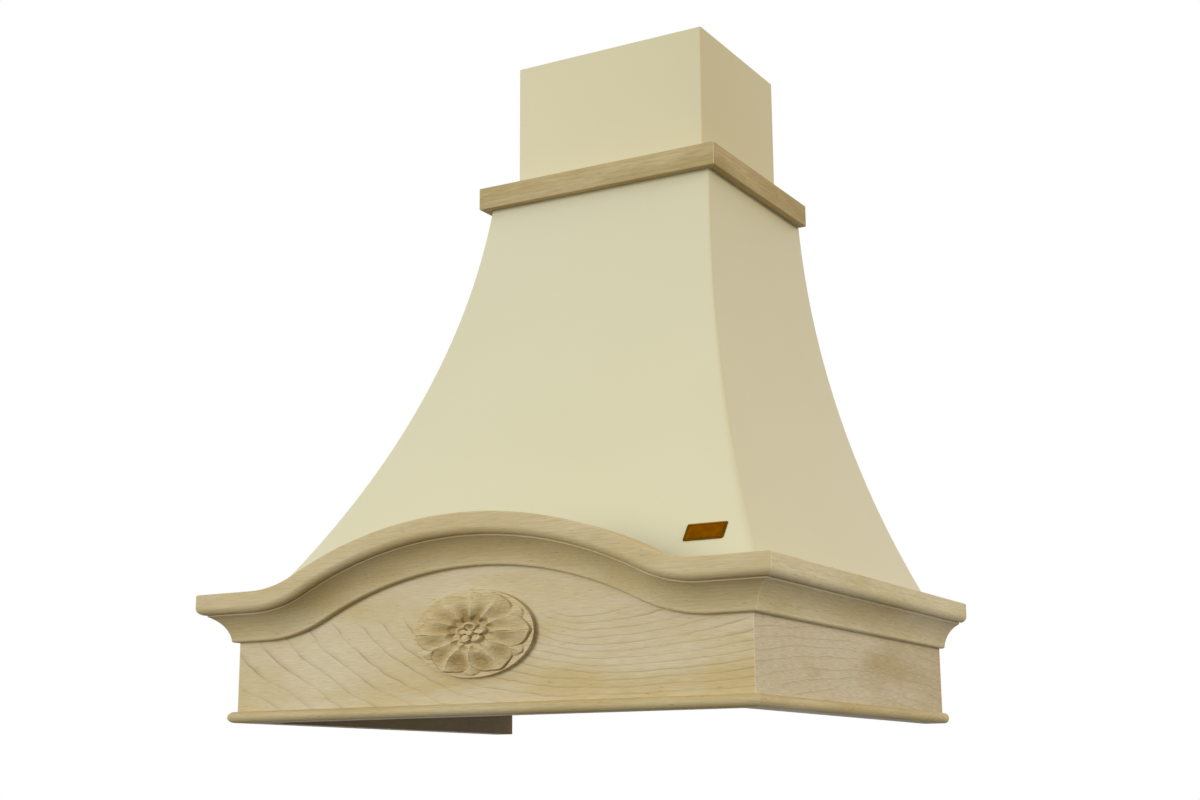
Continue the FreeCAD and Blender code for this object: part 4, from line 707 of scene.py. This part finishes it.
side_flare = Flare(top_half, HALF - side_foot_inset, SIDE_TOP)
front_flare = Flare(top_depth, DEPTH - BOARD, SIDE_TOP - front_foot_drop)
ledge = SIDE_TOP
arc_heights = np.linspace(ledge + 4 * MM, collar_bottom, 90)
heights = np.concatenate([[skirt_bottom, ledge, ledge], arc_heights, [rim_top]])
canopy_half = side_flare.at(heights)
canopy_half[:2] = HALF - BOARD
canopy_depth = np.minimum(front_flare.at(heights), DEPTH - BOARD)
inner_heights = heights + np.where(heights == ledge, canopy_sheet, 0)
down = np.clip((collar_bottom - heights) / (collar_bottom - ledge), 0, 1) * (heights >= ledge)
corner = corner_at_collar + (corner_at_foot - corner_at_collar) * down ** 2
canopy_rings = folded_outline(canopy_half, canopy_depth, canopy_gap, wall_flange, canopy_bend,
                              canopy_sheet, heights, inner_heights, corner)
solid("canopy_dressed", canopy_rings, cream, "root", ["canopy_front", "canopy_left", "canopy_right"],
      crease=40)

flange_clearance, flange_width = 0.5 * MM, 15 * MM
flange_in = np.array([flange_clearance, flange_width, flange_width, flange_clearance])
inner_half, inner_depth = top_half - flange_in, top_depth - flange_in
flange_z = rim_top - np.array([0, 0, canopy_sheet, canopy_sheet])
back_y = np.full(4, canopy_gap)
flange_rings = np.stack([np.stack([sign * inner_half, -y, flange_z], -1)
                         for sign, y in ((-1, back_y), (-1, inner_depth), (1, inner_depth), (1, back_y))])
solid("canopy_mouth_flange", flange_rings, cream, "root", [])


# ============================================================ collar
# Three square beech strips, 11 by 27 mm, mitred at the front corners and glued round the
# canopy's rim. A browner, blotchier cut than the base.

collar_arris = 1.0 * MM
strip = rounded_rectangle(collar_thickness, collar_high[2] - collar_low[2], collar_arris)
collar_gap = -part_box("collar_right")[1][1]
collar_mitre = top_half - top_depth
collar_beech = {grain: beech("beech_collar_" + grain.lower(), grain, "#B8A574", warm, "#7A5F36", face,
                             spacing=5.5, aspect=(13, 13), centre=(60, 0, 560), sway=4, figure=0.5,
                             streaks=1.2, flecks=1.0, mitre=collar_mitre)
                for grain, warm, face in (("X", "#A9945D", top_depth), ("Y", "#A48E57", top_half))}
solid("collar_front_dressed", front_run(strip[:, 0], collar_bottom + strip[:, 1], top_half, top_depth),
      collar_beech["X"], "root", ["collar_front"])
for side, hand in ((-1, "left"), (1, "right")):
    rings = side_run(strip[:, 0], collar_bottom + strip[:, 1], top_half, top_depth, side, collar_gap)
    solid("collar_" + hand + "_dressed", rings, collar_beech["Y"], "root", ["collar_" + hand])


# ============================================================ chimney cover
# Sheet steel 1.2 mm thick folded in a U with returns at the back, powder-coated like the canopy
# and a shade yellower. It slides up through the top board with its own wall bracket.

chimney_low, chimney_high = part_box("chimney_cover")
levels = np.linspace(chimney_low[2], chimney_high[2], 25)
chimney_cream = cream_coat("cream_powder_coat_chimney", "#CEC59C", "#CBC399")
chimney_return, chimney_bend, chimney_sheet = 15 * MM, 2 * MM, 1.2 * MM
chimney_rings = folded_outline(chimney_high[0], -chimney_low[1], -chimney_high[1], chimney_return,
                               chimney_bend, chimney_sheet, levels, levels)
solid("chimney_dressed", chimney_rings, chimney_cream, "chimney", ["chimney_cover"],
      crease=40)


# ============================================================ steel fixings
# Bright zinc-plated steel: the wood screws that hold moulding, carving, blocks, cleats and
# panels, and the pressed strip that ties the chimney cover to the wall. Their solids stay.

def zinc(name):
    """Zinc plate: pale blue-grey metal with crystals 3 mm across in its tone and its sheen."""
    material, tree, output = new_material(name)
    place = add(tree, "TexCoord")
    crystals = add(tree, "TexVoronoi", {"feature": "F1"}, {
        "Vector": place.outputs["Object"], "Scale": 1 / (3 * MM)})
    share = add(tree, "SeparateColor", None, {0: crystals.outputs["Color"]})
    tone = add(tree, "Mix", {"data_type": "RGBA"}, {
        0: share.outputs[0], 6: linear("#B4B8BC"), 7: linear("#C6CACC")})
    rough = add(tree, "MapRange", None, {0: share.outputs[1], 3: 0.28, 4: 0.42})
    shader = add(tree, "BsdfPrincipled", None, {"Base Color": tone.outputs[2], "Metallic": 1.0,
                                                "Roughness": rough.outputs[0]})
    tree.links.new(shader.outputs[0], output.inputs[0])
    return material


cover(["chimney_bracket", "crown_screws", "rosette_screws", "corner_block_screws", "panel_cleat_screws",
       "insert_panel_screws", "canopy_skirt_screws", "top_board_screws", "hanging_cleat_screws",
       "chimney_rest_screws", "chimney_bracket_screws"], zinc("zinc_plated_steel"))


# ============================================================ badge
# A small blank plate of stamped metal in a golden bronze lacquer, with rounded corners and a
# raised border, darkened at the edge, stuck flat on the slope of the canopy's front.

def bronze(name, half_long, half_short):
    """Satin bronze lacquer in faint clouds 8 mm wide, olive at the edge, with a fine engraved line
    2.1 mm inside it. The plate's own UV map holds millimetres from its middle."""
    line_inset = 2.1
    material, tree, output = new_material(name)
    place = add(tree, "UVMap", {"uv_map": "plate_mm"})
    spot = add(tree, "SeparateXYZ", None, {0: place.outputs[0]})
    sides = [add(tree, "Math", {"operation": "ABSOLUTE"}, {0: spot.outputs[axis]}) for axis in (0, 1)]
    inside = [add(tree, "Math", {"operation": "SUBTRACT"}, {0: half, 1: item.outputs[0]})
              for half, item in zip((half_long, half_short), sides)]
    margin = add(tree, "Math", {"operation": "MINIMUM"}, {0: inside[0].outputs[0], 1: inside[1].outputs[0]})
    border = add(tree, "MapRange", None, {0: margin.outputs[0], 1: 0.3, 2: 0.9, 3: 1.0, 4: 0.0})
    cloud = add(tree, "TexNoise", None, {"Vector": place.outputs[0], "Scale": 0.12, "Detail": 3.0})
    field = add(tree, "ValToRGB", {"stops": [(0.35, linear("#744700")), (0.7, linear("#865400"))]},
                {0: cloud.outputs[0]})
    from_line = add(tree, "Math", {"operation": "SUBTRACT"}, {0: margin.outputs[0], 1: line_inset})
    beside = add(tree, "Math", {"operation": "ABSOLUTE"}, {0: from_line.outputs[0]})
    engraved = add(tree, "MapRange", None, {0: beside.outputs[0], 1: 0.15, 2: 0.45, 3: 0.9, 4: 0.0})
    lined = add(tree, "Mix", {"data_type": "RGBA"}, {0: engraved.outputs[0], 6: field.outputs[0],
                                                     7: linear("#3A2604")})
    colour = add(tree, "Mix", {"data_type": "RGBA"}, {0: border.outputs[0], 6: lined.outputs[2],
                                                      7: linear("#54410E")})
    shader = add(tree, "BsdfPrincipled", None, {"Base Color": colour.outputs[2], "Metallic": 1.0,
                                                "Roughness": 0.42, "Specular Tint": linear("#A87A1C")})
    tree.links.new(shader.outputs[0], output.inputs[0])
    return material


badge_long, badge_short, badge_thick, badge_round = 43 * MM, 22 * MM, 0.8 * MM, 2 * MM
badge_border, badge_chamfer, badge_field = 1.0 * MM, 0.2 * MM, 0.65 * MM
badge_offset, badge_level, badge_film = 227 * MM, 169 * MM, 0.3 * MM
badge_lean = math.asin((front_flare.centre_z - badge_level) / flare_radius)
outward = np.array([0, -math.cos(badge_lean), math.sin(badge_lean)])
upward = np.array([0, math.sin(badge_lean), math.cos(badge_lean)])
flare_centre = np.array([badge_offset, -front_flare.centre, front_flare.centre_z])
seat = flare_centre - outward * (flare_radius - badge_film)
badge_profile = ((0, 0), (0, badge_thick - badge_chamfer), (badge_chamfer, badge_thick),
                 (badge_border, badge_thick), (badge_border + badge_chamfer, badge_field),
                 (4 * MM, badge_field), (8 * MM, badge_field))
badge_rings = []
for inward, level in badge_profile:
    edge = rounded_rectangle(badge_long - 2 * inward, badge_short - 2 * inward,
                             max(badge_round - inward, 0.4 * MM), 6)
    flat = edge - [badge_long / 2 - inward, badge_short / 2 - inward]
    badge_rings.append(seat + flat[:, :1] * [1, 0, 0] + flat[:, 1:] * upward + level * outward)
badge_bronze = bronze("bronze_badge", badge_long / 2 / MM, badge_short / 2 / MM)
badge = solid("badge_dressed", np.stack(badge_rings), badge_bronze, "root", ["badge_plate"])
plate_map = badge.data.uv_layers.new(name="plate_mm")
corners = np.zeros(len(badge.data.loops), dtype=np.int32)
badge.data.loops.foreach_get("vertex_index", corners)
points = np.zeros(len(badge.data.vertices) * 3)
badge.data.vertices.foreach_get("co", points)
local = points.reshape(-1, 3) - seat
flat = np.stack([local[:, 0], local @ upward], -1) / MM
plate_map.data.foreach_set("uv", flat[corners].ravel())


# ============================================================ floor, light and camera
# A plain pale floor 1.5 m below the hood, white surroundings, a soft key light from the left in
# front and a weaker, warmer one from the right. The camera stands low, in front and to the right.

# In metres.
floor_level, floor_half, floor_back = -1.5, 6.0, 3.0
floor_mesh = bpy.data.meshes.new("floor")
floor_mesh.from_pydata([(-floor_half, -floor_half, floor_level), (floor_half, -floor_half, floor_level),
                        (floor_half, floor_back, floor_level), (-floor_half, floor_back, floor_level)],
                       [], [(0, 1, 2, 3)])
floor = bpy.data.objects.new("floor", floor_mesh)
bpy.context.scene.collection.objects.link(floor)


def to_the_eye(tree):
    """1 for rays that show the camera something, straight or by way of metal or glass, and 0 for
    those that only gather light, for which floor and surroundings are greyer."""
    path = add(tree, "LightPath")
    straight = add(tree, "Math", {"operation": "MAXIMUM"}, {
        0: path.outputs["Is Camera Ray"], 1: path.outputs["Is Glossy Ray"]})
    return add(tree, "Math", {"operation": "MAXIMUM"}, {
        0: straight.outputs[0], 1: path.outputs["Is Transmission Ray"]}).outputs[0]


floor_paint, tree, output = new_material("pale_floor")
grey = add(tree, "BsdfDiffuse", None, {"Color": linear("#4C4943")})
white = add(tree, "BsdfDiffuse", None, {"Color": linear("#F4F4F2")})
both = add(tree, "MixShader", None, {0: to_the_eye(tree), 1: grey.outputs[0], 2: white.outputs[0]})
face = add(tree, "NewGeometry")
see_through = add(tree, "BsdfTransparent")
from_below = add(tree, "MixShader", None, {
    0: face.outputs["Backfacing"], 1: both.outputs[0], 2: see_through.outputs[0]})
tree.links.new(from_below.outputs[0], output.inputs[0])
floor_mesh.materials.append(floor_paint)

# The surroundings' light grows from 0.48 low down to 0.80 overhead, and falls to three quarters
# of that behind the hood. To the eye they are white.
world = bpy.data.worlds.new("white_surroundings")
bpy.context.scene.world = world
world.use_nodes = True
tree = world.node_tree
tree.nodes.clear()
output = add(tree, "OutputWorld")
sky_place = add(tree, "TexCoord")
sky_up = add(tree, "SeparateXYZ", None, {0: sky_place.outputs["Generated"]})
dome = add(tree, "MapRange", None, {0: sky_up.outputs[2], 1: -0.3, 2: 0.9, 3: 0.48, 4: 0.80})
behind = add(tree, "MapRange", None, {0: sky_up.outputs[1], 1: 0.0, 2: 0.9, 3: 1.0, 4: 0.75})
level = add(tree, "Math", {"operation": "MULTIPLY"}, {0: dome.outputs[0], 1: behind.outputs[0]})
strength = add(tree, "Mix", {"data_type": "FLOAT"}, {0: to_the_eye(tree), 2: level.outputs[0], 3: 1.0})
sky = add(tree, "Background", None, {"Color": (1, 1, 1, 1), "Strength": strength.outputs[0]})
tree.links.new(sky.outputs[0], output.inputs[0])


def sun(name, toward, strength, colour, softness):
    """Sun lamp shining from the side given by a direction, its disc softness degrees wide."""
    lamp = bpy.data.lights.new(name, "SUN")
    lamp.energy, lamp.color, lamp.angle = strength, linear(colour)[:3], math.radians(softness)
    holder = bpy.data.objects.new(name, lamp)
    holder.rotation_euler = Vector(toward).to_track_quat("Z", "Y").to_euler()
    bpy.context.scene.collection.objects.link(holder)


sun("key_light", (-0.50, -0.80, 0.16), 1.62, "#FFFFFF", 30)
sun("fill_light", (0.95, 0.02, 0.28), 1.03, "#FFE4B8", 14)

camera_data = bpy.data.cameras.new("camera")
camera_data.lens, camera_data.sensor_width = 52.346, 36
camera = bpy.data.objects.new("camera", camera_data)
camera_place = Vector((958.451, -1937.958, -72.627)) * MM
yaw, pitch, roll = 29.641, 12.640, -0.375
camera.matrix_world = (Matrix.Translation(camera_place)
                       @ Matrix.Rotation(math.radians(yaw), 4, "Z")
                       @ Matrix.Rotation(math.radians(90 + pitch), 4, "X")
                       @ Matrix.Rotation(math.radians(roll), 4, "Z"))
bpy.context.scene.collection.objects.link(camera)
bpy.context.scene.camera = camera
bpy.context.scene.view_settings.view_transform = "Standard"
